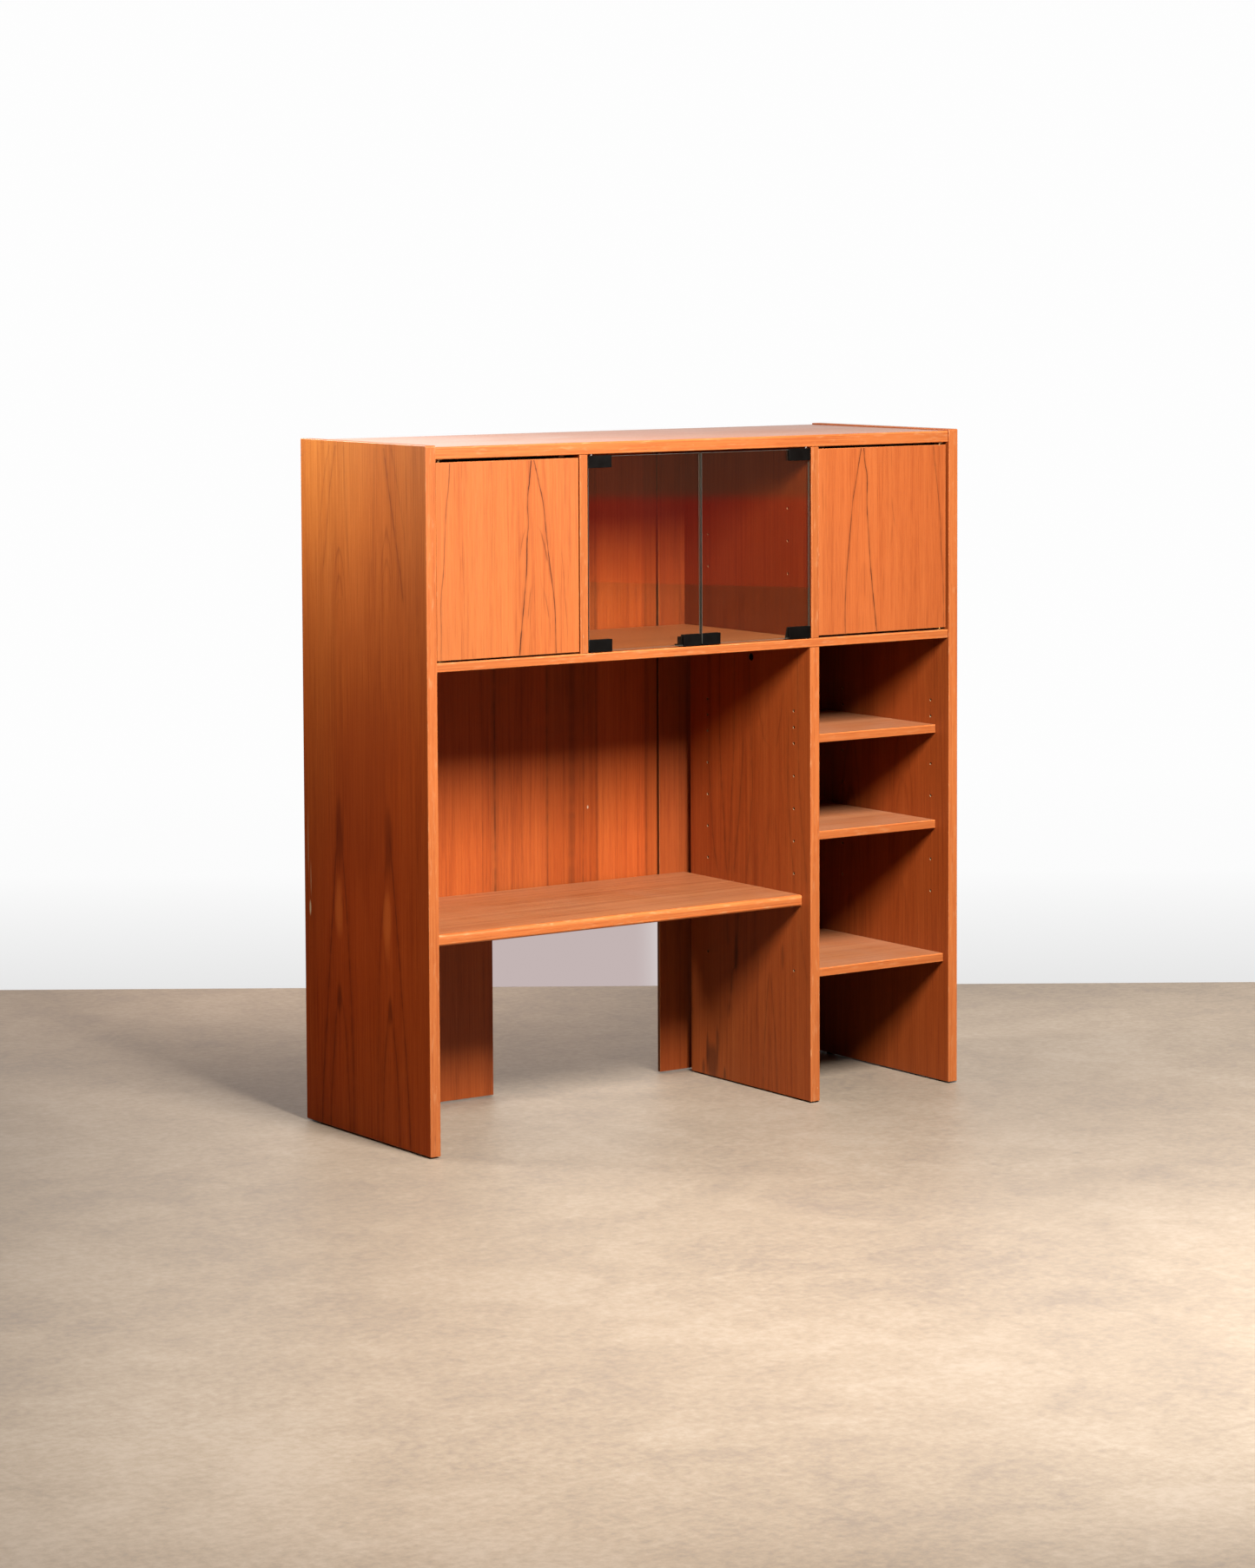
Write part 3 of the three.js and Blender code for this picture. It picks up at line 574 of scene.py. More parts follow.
DOOR_R_LINES = [
    ([(1.2794, 0.3835), (1.2542, 0.3784), (1.2166, 0.3708), (1.1736, 0.3623), (1.1332, 0.3578), (1.0901, 0.3530),
      (1.0497, 0.3485), (1.0228, 0.3461), (0.9688, 0.3433), (0.9150, 0.3440)], 0.0011, 0.88),
    ([(1.2794, 0.3893), (1.2511, 0.3921), (1.2157, 0.3982), (1.1724, 0.3975), (1.1425, 0.3989), (1.1017, 0.4016),
      (1.0609, 0.4050), (1.0199, 0.4091), (0.9707, 0.4146), (0.9150, 0.4220)], 0.0013, 0.95),
    ([(1.2794, 0.5640), (1.2322, 0.5689), (1.1909, 0.5745), (1.1358, 0.5806), (1.0808, 0.5831), (1.0255, 0.5877),
      (0.9150, 0.5898)], 0.0010, 0.62),
    ([(1.1839, 0.4585), (1.1511, 0.4619), (1.1182, 0.4678)], 0.0014, 0.30),
    ([(1.2300, 0.3865), (1.1700, 0.3800), (1.1000, 0.3740), (1.0400, 0.3725)], 0.0006, 0.25),
]
DIVIDER_LINES = [
    ([(0.8857, 0.1113), (0.7273, 0.1133), (0.6440, 0.1154), (0.5857, 0.1121), (0.5273, 0.1071), (0.4773, 0.1008), (0.4398, 0.0925), (0.4086, 0.0821)], 0.0026, 0.50),
    ([(0.8857, 0.0771), (0.7482, 0.0808), (0.6607, 0.0779), (0.5773, 0.0708), (0.4940, 0.0633), (0.4357, 0.0579), (0.4065, 0.0529)], 0.0022, 0.56),
    ([(0.8815, 0.0292), (0.7148, 0.0308), (0.6440, 0.0342), (0.5690, 0.0404), (0.5190, 0.0446), (0.4607, 0.0475), (0.4065, 0.0508)], 0.0018, 0.50),
    ([(0.7148, 0.0000), (0.6440, 0.0029), (0.6023, 0.0092), (0.5440, 0.0142), (0.4857, 0.0238), (0.4398, 0.0300), (0.4065, 0.0342)], 0.0028, 0.46),
    ([(0.8857, -0.0158), (0.7273, -0.0262), (0.6607, -0.0283), (0.6065, -0.0304), (0.5523, -0.0242), (0.4940, -0.0208), (0.4523, -0.0138), (0.4065, -0.0075)], 0.0020, 0.42),
    ([(0.7940, -0.0471), (0.7357, -0.0596), (0.7023, -0.0700), (0.6898, -0.0867), (0.6807, -0.0942)], 0.0014, 0.34),
    ([(0.8190, -0.1333), (0.7607, -0.1263), (0.7232, -0.1167), (0.6982, -0.1117), (0.6857, -0.1013), (0.6807, -0.0942)], 0.0015, 0.40),
    ([(0.7690, -0.1512), (0.6232, -0.1479), (0.5648, -0.1512), (0.5065, -0.1567), (0.4607, -0.1638), (0.4065, -0.1700)], 0.0018, 0.42),
    ([(0.8857, -0.1792), (0.6940, -0.1817), (0.6357, -0.1833), (0.5773, -0.1888), (0.5273, -0.1950), (0.4815, -0.2013), (0.4357, -0.2075), (0.4065, -0.2117)], 0.0020, 0.36),
    ([(0.5607, -0.0867), (0.5190, -0.0833), (0.4773, -0.0817)], 0.0010, 0.25),
    ([(0.3773, 0.0583), (0.3190, 0.0558), (0.2607, 0.0525)], 0.0030, 0.45),
    ([(0.3773, 0.0154), (0.3315, 0.0196), (0.2773, 0.0238), (0.2398, 0.0279), (0.2232, 0.0383), (0.1857, 0.0433), (0.1523, 0.0488), (0.1232, 0.0529)], 0.0036, 0.58),
    ([(0.2482, -0.0867), (0.2190, -0.0817), (0.1773, -0.0762), (0.1273, -0.0712), (0.0773, -0.0671), (0.0023, -0.0646)], 0.0013, 0.52),
    ([(0.2482, -0.0867), (0.2148, -0.0917), (0.1690, -0.0983), (0.1190, -0.1033), (0.0690, -0.1075), (0.0023, -0.1108)], 0.0013, 0.52),
    ([(0.1357, -0.0875), (0.0773, -0.0850), (0.0023, -0.0817)], 0.0009, 0.34),
    ([(0.1357, -0.0875), (0.0773, -0.0900), (0.0023, -0.0950)], 0.0009, 0.34),
    ([(0.3607, -0.1846), (0.2982, -0.1950), (0.2565, -0.2054), (0.2190, -0.2137)], 0.0018, 0.30),
]

SIDE_LINES = [
    ([(0.6100, 0.0930), (0.5100, 0.1080), (0.4500, 0.1150), (0.3500, 0.1280), (0.2200, 0.1430), (0.1000, 0.1580), (0.0040, 0.1660)], 0.0030, 0.78),
    ([(0.6100, 0.0930), (0.5200, 0.0800), (0.4500, 0.0710), (0.3700, 0.0630), (0.3000, 0.0580), (0.1700, 0.0500), (0.0040, 0.0480)], 0.0026, 0.66),
    ([(0.6000, -0.0850), (0.5100, -0.0720), (0.4500, -0.0640), (0.3700, -0.0520), (0.3000, -0.0470), (0.1500, -0.0420), (0.0040, -0.0400)], 0.0022, 0.56),
    ([(0.6000, -0.0850), (0.5200, -0.0970), (0.4500, -0.1070), (0.3500, -0.1200), (0.2500, -0.1320), (0.1700, -0.1420), (0.0040, -0.1550)], 0.0026, 0.78),
    ([(0.2700, 0.0970), (0.2100, 0.1110), (0.1500, 0.1180), (0.1000, 0.1260), (0.0040, 0.1330)], 0.0028, 0.70),
    ([(0.2700, 0.0970), (0.2100, 0.0780), (0.1500, 0.0710), (0.0900, 0.0660), (0.0040, 0.0620)], 0.0024, 0.60),
    ([(0.2700, -0.0850), (0.2000, -0.0720), (0.1200, -0.0620), (0.0040, -0.0570)], 0.0026, 0.62),
    ([(0.2700, -0.0850), (0.2100, -0.0990), (0.1500, -0.1090), (0.0040, -0.1170)], 0.0026, 0.70),
    ([(1.3000, 0.0950), (1.2100, 0.1180), (1.1200, 0.1330), (1.0500, 0.1480)], 0.0018, 0.56),
    ([(1.3000, -0.0790), (1.2200, -0.0970), (1.1400, -0.1170), (1.0700, -0.1340), (1.0000, -0.1470)], 0.0022, 0.74),
    ([(1.3000, 0.0650), (1.1700, 0.0580), (1.0400, 0.0480)], 0.0012, 0.48),
    ([(1.3000, -0.0460), (1.1800, -0.0400), (1.0400, -0.0300)], 0.0012, 0.42),
    ([(1.3000, 0.1160), (1.2100, 0.1440), (1.1000, 0.1600)], 0.0010, 0.42),
    ([(1.3000, -0.1060), (1.2100, -0.1320), (1.1100, -0.1560)], 0.0010, 0.44),
]

STAIN = (0.045, 0.016, 0.008)

A = {}
A["edge_z"] = lipping("lipping_z", "Z", 1.0)
A["edge_z2"] = lipping("lipping_z_right", "Z", 5.0, tone=1.12)
A["edge_z3"] = lipping("lipping_z_upper", "Z", 9.0, tone=0.88)
A["edge_x"] = lipping("lipping_x", "X", 2.0)
A["edge_x2"] = lipping("lipping_x_shelf", "X", 6.0, tone=0.96)
A["edge_y"] = lipping("lipping_y", "Y", 3.0, tone=0.85, wear=0.2)
A["arris_z"] = lipping("arris_z", "Z", 4.0, tone=1.05, wear=0.75, nick=0.9)
# arris_x: the eased arrises of the tops, desk and shelves are 1.4 times lighter than the lipping: worn arrises, and
# painted highlight where they catch the light
A["arris_x"] = lipping("arris_x", "X", 7.0, tone=1.40, wear=0.8, nick=0.6)
A["edge_back"] = lipping("lipping_back", "Z", 8.0, tone=0.22, wear=0.05, nick=0.1)

# the inner boards' colours are one teak set lighter or darker board by board, which holds painted light and shade:
# INNER2 (lower divider) and INNER3 (left and centre back boards) lighter than INNER, INNER4 (right side), INNER5 (right
# back board) and INNER6 (upper dividers) darker
INNER = dict(light=(0.580, 0.136, 0.027), mid=(0.475, 0.092, 0.0155), dark=(0.285, 0.045, 0.007))
INNER3 = dict(light=(0.740, 0.172, 0.0350), mid=(0.612, 0.118, 0.0200), dark=(0.375, 0.059, 0.0093))
INNER5 = dict(light=(0.5446, 0.1211, 0.0252), mid=(0.4504, 0.0831, 0.0144), dark=(0.2760, 0.0415, 0.0067))
INNER6 = dict(light=(0.4051, 0.0783, 0.0135), mid=(0.3317, 0.0530, 0.0077), dark=(0.1990, 0.0259, 0.0035))
INNER4 = dict(light=(0.560, 0.130, 0.0270), mid=(0.460, 0.090, 0.0155), dark=(0.288, 0.045, 0.0071))
INNER2 = dict(light=(0.625, 0.146, 0.0305), mid=(0.515, 0.100, 0.0176), dark=(0.320, 0.050, 0.0080))
TOPS = dict(light=(0.780, 0.285, 0.108), mid=(0.660, 0.212, 0.070), dark=(0.460, 0.120, 0.034))

M = {}
# the left side's height stops below are painted light and shade: lighter and redder near the floor, darker in the
# middle, paler towards the top
M["side_left"] = teak("teak_left_side", "Z", "Y", 1.0, heart=0.086, mirror=0.0, apex=0.030,
                      apexes=[0.120, 0.255, 0.415, 0.500, 0.985, 1.035, 1.090, 1.160],
                      lam=0.0046, ring=0.42, strong=0.9, wob=0.009, streak=0.40, band=0.22, fine=0.45, rough=0.42, spec=0.07,
                      painted_shading=[(0.0, (1.47, 1.25, 0.98)), (0.15, (1.50, 1.27, 1.02)), (0.25, (1.42, 1.16, 0.90)), (0.35, (1.38, 1.15, 0.95)),
                             (0.45, (1.22, 1.00, 0.85)), (0.55, (1.08, 0.90, 0.72)), (0.75, (0.95, 0.90, 0.74)), (0.85, (0.89, 0.94, 0.82)),
                             (0.95, (0.90, 1.06, 1.08)), (1.05, (0.91, 1.15, 1.22)), (1.15, (0.98, 1.36, 1.45)), (1.3, (0.98, 1.50, 1.60))],
                      light=(0.640, 0.140, 0.026), mid=(0.530, 0.098, 0.014), dark=(0.340, 0.050, 0.006),
                      lines=SIDE_LINES, soft=(0.10, 1.60, 0.30), line_col=(0.200, 0.028, 0.005), hair=0.12, mid_streak=0.14,
                      blotch=[((-0.621, 0.0050, 0.700), (0.03, 0.150, 0.300), (0.360, 0.052, 0.007), 0.42),
                              ((-0.621, 0.0930, 0.560), (0.03, 0.018, 0.085), (0.200, 0.028, 0.004), 0.62),
                              ((-0.621, -0.0850, 0.560), (0.03, 0.018, 0.085), (0.200, 0.028, 0.004), 0.54),
                              ((-0.621, 0.0970, 0.425), (0.03, 0.016, 0.070), (0.900, 0.240, 0.050), 0.55),
                              ((-0.621, -0.0790, 0.420), (0.03, 0.016, 0.070), (0.900, 0.240, 0.050), 0.55),
                              ((-0.621, 0.0970, 0.255), (0.03, 0.011, 0.036), (0.160, 0.024, 0.004), 0.60),
                              ((-0.621, -0.0850, 0.255), (0.03, 0.011, 0.036), (0.160, 0.024, 0.004), 0.60),
                              ((-0.621, 0.2035, 0.415), (0.03, 0.0042, 0.016), (1.00, 0.90, 0.66), 0.95),
                              ((-0.621, 0.2090, 0.530), (0.03, 0.0012, 0.075), (0.95, 0.75, 0.50), 0.55),
                              ((-0.621, 0.2000, 0.470), (0.03, 0.0014, 0.040), (0.95, 0.75, 0.50), 0.60)])
M["side_right"] = teak("teak_right_side", "Z", "Y", 2.0, heart=0.095, mirror=0.01, apex=0.0, d0=0.02, taper=0.06,
                       lam=0.0070, ring=0.36, strong=1.8, streak=0.38, band=0.30, **INNER4)
M["divider"] = teak("teak_divider", "Z", "Y", 3.0, heart=-0.09, apex=0.0, d0=0.03, taper=0.06, lam=0.013, ring=0.20, strong=2.2,
                    streak=0.34, band=0.30, lines=DIVIDER_LINES, wob=0.010, soft=(0.10, 1.70, 0.34), line_col=(0.115, 0.020, 0.005),
                    mid_streak=0.20, hair=0.14,
                    blotch=[((0.2565, 0.1080, 0.035), (0.03, 0.026, 0.045), STAIN, 0.58),
                            ((0.2565, 0.0900, 0.078), (0.03, 0.008, 0.045), STAIN, 0.50),
                            ((0.2565, 0.1240, 0.060), (0.03, 0.007, 0.040), STAIN, 0.46),
                            ((0.2565, 0.0660, 0.012), (0.03, 0.006, 0.022), STAIN, 0.58),
                            ((0.2565, 0.1380, 0.014), (0.03, 0.006, 0.024), STAIN, 0.50),
                            ((0.2565, 0.0260, 0.262), (0.03, 0.008, 0.042), STAIN, 0.46),
                            ((0.2565, -0.1290, 0.277), (0.03, 0.007, 0.034), (0.16, 0.030, 0.006), 0.45)], **INNER2)
M["udiv"] = teak("teak_upper_divider", "Z", "Y", 4.0, heart=0.06, apex=0.9, d0=0.03, taper=0.08, lam=0.010, ring=0.35, band=0.3, **INNER6)
M["door_left"] = teak("teak_left_door", "Z", "X", 5.0, heart=-0.386, apex=0.90, d0=0.010, taper=0.10, lam=0.014, ring=0.16, strong=3.0,
                      streak=0.46, band=0.34, fine=0.60, wob=0.005, lines=DOOR_L_LINES, hair=0.36, mid_streak=0.20,
                      light=(0.660, 0.200, 0.054), mid=(0.600, 0.167, 0.042), dark=(0.465, 0.108, 0.025))
M["door_right"] = teak("teak_right_door", "Z", "X", 6.0, heart=0.390, apex=0.90, d0=0.010, taper=0.10, lam=0.014, ring=0.16, strong=3.0,
                       streak=0.46, band=0.38, fine=0.60, wob=0.005, lines=DOOR_R_LINES, hair=0.36, mid_streak=0.20,
                       light=(0.650, 0.184, 0.049), mid=(0.580, 0.148, 0.036), dark=(0.440, 0.094, 0.021))
M["back_left"] = teak("teak_back_left", "Z", "X", 7.0, d0=1.5, lam=0.011, ring=0.28, strong=2.4, streak=0.40, band=0.30, fine=0.45,
                      lines=[([(1.2840, -0.5200), (0.0030, -0.5190)], 0.0008, 0.30), ([(1.2840, -0.2300), (0.0030, -0.2290)], 0.0009, 0.35),
                             ([(1.2840, -0.4020), (0.0030, -0.4000)], 0.0012, 0.25)], **INNER3)
# the right back board's large dark blotch round x 0.47 is painted shade over the back of the shelf bay
M["back_right"] = teak("teak_back_right", "Z", "X", 8.0, d0=1.5, lam=0.012, ring=0.28, strong=2.2, streak=0.40, band=0.34, fine=0.45,
                       lines=[([(1.2840, 0.2480), (0.0030, 0.2440)], 0.0010, 0.30), ([(1.2840, 0.4300), (0.0030, 0.4270)], 0.0012, 0.35)], 
                       blotch=[((0.4700, 0.2100, 0.500), (0.200, 0.20, 1.60), (0.230, 0.032, 0.005), 0.62)], **INNER5)
# the centre back board's dark line at x -0.1945, next to the left back board's edge, is painted shadow of that edge
M["back_centre"] = teak("teak_back_centre", "Z", "X", 9.0, d0=1.5, heart=0.7, lam=0.010, ring=0.26, strong=2.4, streak=0.40, band=0.34,
                        fine=0.45, leaves=[(-0.0735, 0.84), (0.0505, 1.04), (0.1650, 0.80)],
                        lines=[([(1.2840, -0.1945), (0.3450, -0.1945)], 0.0030, 0.55), ([(1.2840, -0.0700), (0.3450, -0.0705)], 0.0022, 0.45), ([(1.2840, -0.0120), (0.8000, -0.0110), (0.3450, -0.0145)], 0.0095, 0.42),
                               ([(1.2840, 0.0190), (0.7000, 0.0170), (0.3450, 0.0140)], 0.0011, 0.55), ([(1.2840, 0.0470), (0.3450, 0.0475)], 0.0014, 0.45),
                               ([(1.2840, 0.1690), (0.3450, 0.1700)], 0.0016, 0.30), ([(1.2840, -0.1300), (0.3450, -0.1310)], 0.0009, 0.28),
                               ([(1.2840, -0.0300), (0.3450, -0.0330)], 0.0009, 0.35), ([(1.2840, 0.1080), (0.3450, 0.1070)], 0.0008, 0.25)],
                        blotch=[((0.0265, 0.2155, 0.556), (0.0020, 0.02, 0.0045), (0.90, 0.66, 0.45), 1.0)], **INNER3)
# the top's blotch makes it paler and whiter towards its left end
M["top"] = teak("teak_top", "X", "Y", 10.0, d0=0.5, heart=0.9, lam=0.012, ring=0.22, streak=0.42, band=0.30, fine=0.35, haze=0.25,
                rough=0.34, blotch=[((-0.62, 0.0, 1.302), (0.55, 0.60, 0.10), (0.84, 0.64, 0.58), 0.40)], **TOPS)
M["mid"] = teak("teak_mid", "X", "Y", 11.0, d0=0.5, heart=0.7, lam=0.012, ring=0.28, streak=0.45, band=0.35, haze=0.12, **TOPS)
M["desk"] = teak("teak_desk", "X", "Y", 12.0, d0=0.4, heart=0.6, lam=0.014, ring=0.25, streak=0.52, band=0.40, fine=0.55, haze=0.10,
                 hair=0.40, mid_streak=0.46, rough=0.42, light=(0.700, 0.258, 0.098), mid=(0.600, 0.193, 0.064), dark=(0.420, 0.109, 0.031))
M["shelf"] = teak("teak_shelf", "X", "Y", 13.0, d0=0.4, heart=0.5, lam=0.012, ring=0.25, streak=0.50, band=0.40, haze=0.22, rough=0.5, **TOPS)

# side panels
lo, hi = lohi("left_side_panel")
board("left_side", lo, hi, [M["side_left"], A["edge_z"], A["arris_z"]], "YZ",
      {"all": 0.0012, "-Y,+Z": 0.004, "+Y,-Z": 0.008}, pin_holes(PIN_ROWS, PIN_Y, 22, -1), replaces=("left_side_panel",))
lo, hi = lohi("right_side_panel")
board("right_side", lo, hi, [M["side_right"], A["edge_z2"], A["arris_z"]], "YZ",
      {"all": 0.0012, "-Y,+Z": 0.004, "+Y,-Z": 0.008}, pin_holes(PIN_ROWS, PIN_Y, 1220, 1), replaces=("right_side_panel",))
# lower divider
lo, hi = lohi("lower_divider")
board("divider_lower", lo, hi, [M["divider"], A["edge_z"], A["arris_z"]], "YZ",
      {"all": 0.0006, "-Y,-X": 0.0022, "-Y,+X": 0.0022},
      pin_holes(PIN_ROWS, PIN_Y, 877.5, 1) + pin_holes([510.5, 702.5], PIN_Y, 899.8, -1)
      + [("x", 1, MM(877.5, 197, 862), 0.0156, 0.0128)], replaces=("lower_divider",))
for side, x, sgn in (("left", 357.5, -1), ("right", 880.5, 1)):
    lo, hi = lohi("upper_divider_" + side)
    board("divider_upper_" + side, lo, hi, [M["udiv"], A["edge_z3"], A["arris_z"]], "YZ",
          {"all": 0.0006, "-Y,-X": 0.0018, "-Y,+X": 0.0018}, pin_holes([1034, 1098, 1162], [80, 345], x, sgn),
          replaces=("upper_divider_" + side,))
# top and fixed shelf with the pivot holes
PIV = [(35.5, 14.0), (1206.4, 14.0)]
GPIV = [(367.5, 7.0), (869.6, 7.0)]
lo, hi = lohi("top_panel")
board("panel_top", lo, hi, [M["top"], A["edge_x"], A["arris_x"]], "YX", {"all": 0.0006, "-Y,+Z": 0.003, "-Y,-Z": 0.003},
      [("z", 1, MM(x, y, 1284), 0.0096, 0.009) for x, y in PIV] + [("z", 1, MM(x, y, 1284), 0.0058, 0.009) for x, y in GPIV],
      replaces=("top_panel",))
lo, hi = lohi("mid_panel")
board("panel_mid", lo, hi, [M["mid"], A["edge_x2"], A["arris_x"]], "YX", {"all": 0.0006, "-Y,+Z": 0.0025, "-Y,-Z": 0.0025},
      [("z", -1, MM(x, y, 912), 0.0096, 0.009) for x, y in PIV] + [("z", -1, MM(x, y, 912), 0.0058, 0.009) for x, y in GPIV],
      replaces=("mid_panel",))
# back boards
for side in ("left", "right", "centre"):
    lo, hi = lohi("back_board_" + side)
    board("back_" + side, lo, hi, [M["back_" + side], A["edge_back"], A["arris_z"]], "XZ", {"all": 0.0007},
          replaces=("back_board_" + side,))
# desk shelf and bay shelves
lo, hi = lohi("desk_shelf")
board("shelf_desk", lo, hi, [M["desk"], A["edge_x"], A["arris_x"]], "YX", {"all": 0.0008, "-Y,+Z": 0.007, "-Y,-Z": 0.007},
      replaces=("desk_shelf",))
for nm in ("upper", "middle", "lower"):
    lo, hi = lohi("bay_shelf_" + nm)
    board("shelf_" + nm, lo, hi, [M["shelf"], A["edge_x2"], A["arris_x"]], "YX", {"all": 0.0006, "-Y,+Z": 0.002, "-Y,-Z": 0.002},
          replaces=("bay_shelf_" + nm,))
# wooden doors
for side in ("left", "right"):
    lo, hi = lohi(side + "_door")
    board("door_" + side, lo, hi, [M["door_" + side], A["edge_z"], A["arris_z"]], "XZ", {"all": 0.0012},
          body=side + "_door_leaf", replaces=(side + "_door",))

# ------------------------------------------------------------------------------------------------ other materials
def glass_material(name, tint, edge=False):
    t = Tree(name)
    tr = t.nt.nodes.new("ShaderNodeBsdfTransparent")
    tr.inputs["Color"].default_value = (*tint, 1.0)
    gl = t.nt.nodes.new("ShaderNodeBsdfGlossy")
    gl.inputs["Roughness"].default_value = 0.015
    gl.inputs["Color"].default_value = (1, 1, 1, 1)
    # the same reflectance from both sides of the sheet, stronger at a grazing angle
    fr = t.nt.nodes.new("ShaderNodeLayerWeight")
    fr.inputs["Blend"].default_value = 0.5
    graze = t.m("POWER", fr.outputs["Facing"], 5.0)
    mx = t.nt.nodes.new("ShaderNodeMixShader")
    t.nt.links.new(t.m("ADD", t.m("MULTIPLY", graze, 0.55), 0.068), mx.inputs[0])
    t.nt.links.new(tr.outputs[0], mx.inputs[1])
    t.nt.links.new(gl.outputs[0], mx.inputs[2])
    # a thin film of dust that the light catches
    P = t.xyz()
    du = t.nt.nodes.new("ShaderNodeBsdfDiffuse")
    du.inputs["Color"].default_value = (0.90, 0.80, 0.66, 1.0)
    fm = t.nt.nodes.new("ShaderNodeMixShader")
    film = t.remap(t.noise(P["P"], 9.0, 4.0, 0.6, 0.5), 0.3, 0.75, 0.0005, 0.0013)
    t.nt.links.new(film, fm.inputs[0])
    t.nt.links.new(mx.outputs[0], fm.inputs[1])
    t.nt.links.new(du.outputs[0], fm.inputs[2])
    t.nt.links.new(fm.outputs[0], t.out.inputs[0])
    return t.mat


GLASS = glass_material("smoked_glass", (0.97, 0.950, 0.90))


def glass_edge_material():
    t = Tree("glass_edge")
    P = t.xyz()
    n = t.noise(t.vec(t.m("MULTIPLY", P["X"], 900.0), t.m("MULTIPLY", P["Y"], 900.0), t.m("MULTIPLY", P["Z"], 900.0)), 1.0, 2.0)
    col = t.ramp(n, [(0.3, (0.024, 0.024, 0.017)), (0.7, (0.036, 0.034, 0.024))])
    t.surface(col, 0.35, t.bump(n, 0.05, 0.0001), spec=0.25)
    return t.mat


def glass_rim_material():
    """the narrow ground flat along each arris, which catches the light"""
    t = Tree("glass_rim")
    P = t.xyz()
    n = t.noise(P["P"], 1400.0, 2.0, 0.6)
    col = t.ramp(n, [(0.3, (0.060, 0.057, 0.048)), (0.7, (0.095, 0.090, 0.076))])
    t.surface(col, 0.45, t.bump(n, 0.2, 0.0001), spec=0.35)
    return t.mat


GLASS_EDGE = glass_edge_material()
GLASS_RIM = glass_rim_material()


def plastic(name, base, rough=0.34, grain=1400.0, wear=0.35, spec=0.5):
    t = Tree(name)
    P = t.xyz()
    g = t.noise(P["P"], grain, 2.0, 0.6)
    big = t.noise(P["P"], 55.0, 3.0, 0.6)
    col = t.mix(t.remap(big, 0.35, 0.75), scaled(base, 0.8), scaled(base, 1.35))
    sc = t.noise(t.vec(t.m("MULTIPLY", P["X"], 90.0), t.m("MULTIPLY", P["Y"], 500.0), t.m("MULTIPLY", P["Z"], 1100.0)), 1.0, 2.0, 0.6)
    col = t.mix(t.m("MULTIPLY", t.remap(sc, 0.66, 0.78), wear), col, scaled(base, 4.0))
    ro = t.m("MULTIPLY_ADD", t.m("SUBTRACT", big, 0.5), 0.2, rough)
    t.surface(col, ro, t.bump(g, 0.25, 0.00008), spec=spec)
    return t.mat


def metal(name, base, rough=0.3, grime=0.4):
    t = Tree(name)
    P = t.xyz()
    g = t.noise(t.vec(t.m("MULTIPLY", P["X"], 300.0), t.m("MULTIPLY", P["Y"], 1800.0), t.m("MULTIPLY", P["Z"], 1800.0)), 1.0, 2.0, 0.6)
    big = t.noise(P["P"], 170.0, 3.0, 0.65)
    col = t.mix(t.m("MULTIPLY", t.remap(big, 0.5, 0.75), grime), base, scaled(base, 0.35))
    ro = t.m("MULTIPLY_ADD", t.m("SUBTRACT", g, 0.5), 0.25, rough)
    ro = t.m("MULTIPLY_ADD", t.remap(big, 0.5, 0.75), 0.2, ro)
    t.surface(col, ro, t.bump(g, 0.12, 0.00006), metal=1.0)
    return t.mat


BLACK = plastic("black_plastic", (0.0011, 0.0010, 0.0008), 0.38, spec=0.20)
TAN = plastic("latch_plastic", (0.30, 0.19, 0.11), 0.45)
FELT = plastic("glide_plastic", (0.035, 0.027, 0.022), 0.6)
STEEL = metal("pin_steel", (0.62, 0.60, 0.57), 0.28)
BRASS = metal("pivot_brass", (0.62, 0.44, 0.20), 0.30)

slot_mat = {"black_plastic": BLACK, "latch_plastic": TAN, "glide_plastic": FELT, "pin_steel": STEEL, "pivot_brass": BRASS}


def dress(node, mat, bevel=0.0004, seg=2):
    """a CAD piece whose shape is right: eased edges and a finished material"""
    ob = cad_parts[node]
    ob.data.materials.clear()
    ob.data.materials.append(mat)
    if bevel:
        b = ob.modifiers.new("ease", "BEVEL")
        b.width = bevel
        b.segments = seg
        b.limit_method = "ANGLE"
        b.angle_limit = math.radians(50)
        b.harden_normals = False
    return ob


for side in ("left", "right"):
    for n in ("_door_pivot_upper", "_door_pivot_lower", "_door_bush_upper", "_door_bush_lower"):
        dress(side + n, BRASS, 0.0002)
    dress(side + "_door_latch_housing", TAN, 0.0006)
    dress(side + "_door_latch_plunger", BLACK, 0.0003)
    dress(side + "_door_latch_strike", STEEL, 0.0002)
dress("divider_cam", BLACK, 0.0003)
dress("divider_cam_bolt", STEEL, 0.0003)
for n in ("left_front", "left_rear", "right_front", "right_rear", "divider"):
    dress("glide_" + n, FELT, 0.0004)
for s in ("desk", "upper", "middle"):
    for q in ("left_front", "left_rear", "right_front", "right_rear"):
        dress("%s_pin_%s" % (s, q), STEEL, 0.0003)


# ------------------------------------------------------------------------------------------------ glass doors
def box_mesh(bm, lo, hi):
    vs = [bm.verts.new((x, y, z)) for x in (lo[0], hi[0]) for y in (lo[1], hi[1]) for z in (lo[2], hi[2])]
    idx = [(0, 1, 3, 2), (4, 6, 7, 5), (0, 4, 5, 1), (2, 3, 7, 6), (0, 2, 6, 4), (1, 5, 7, 3)]
    return [bm.faces.new([vs[i] for i in f]) for f in idx]


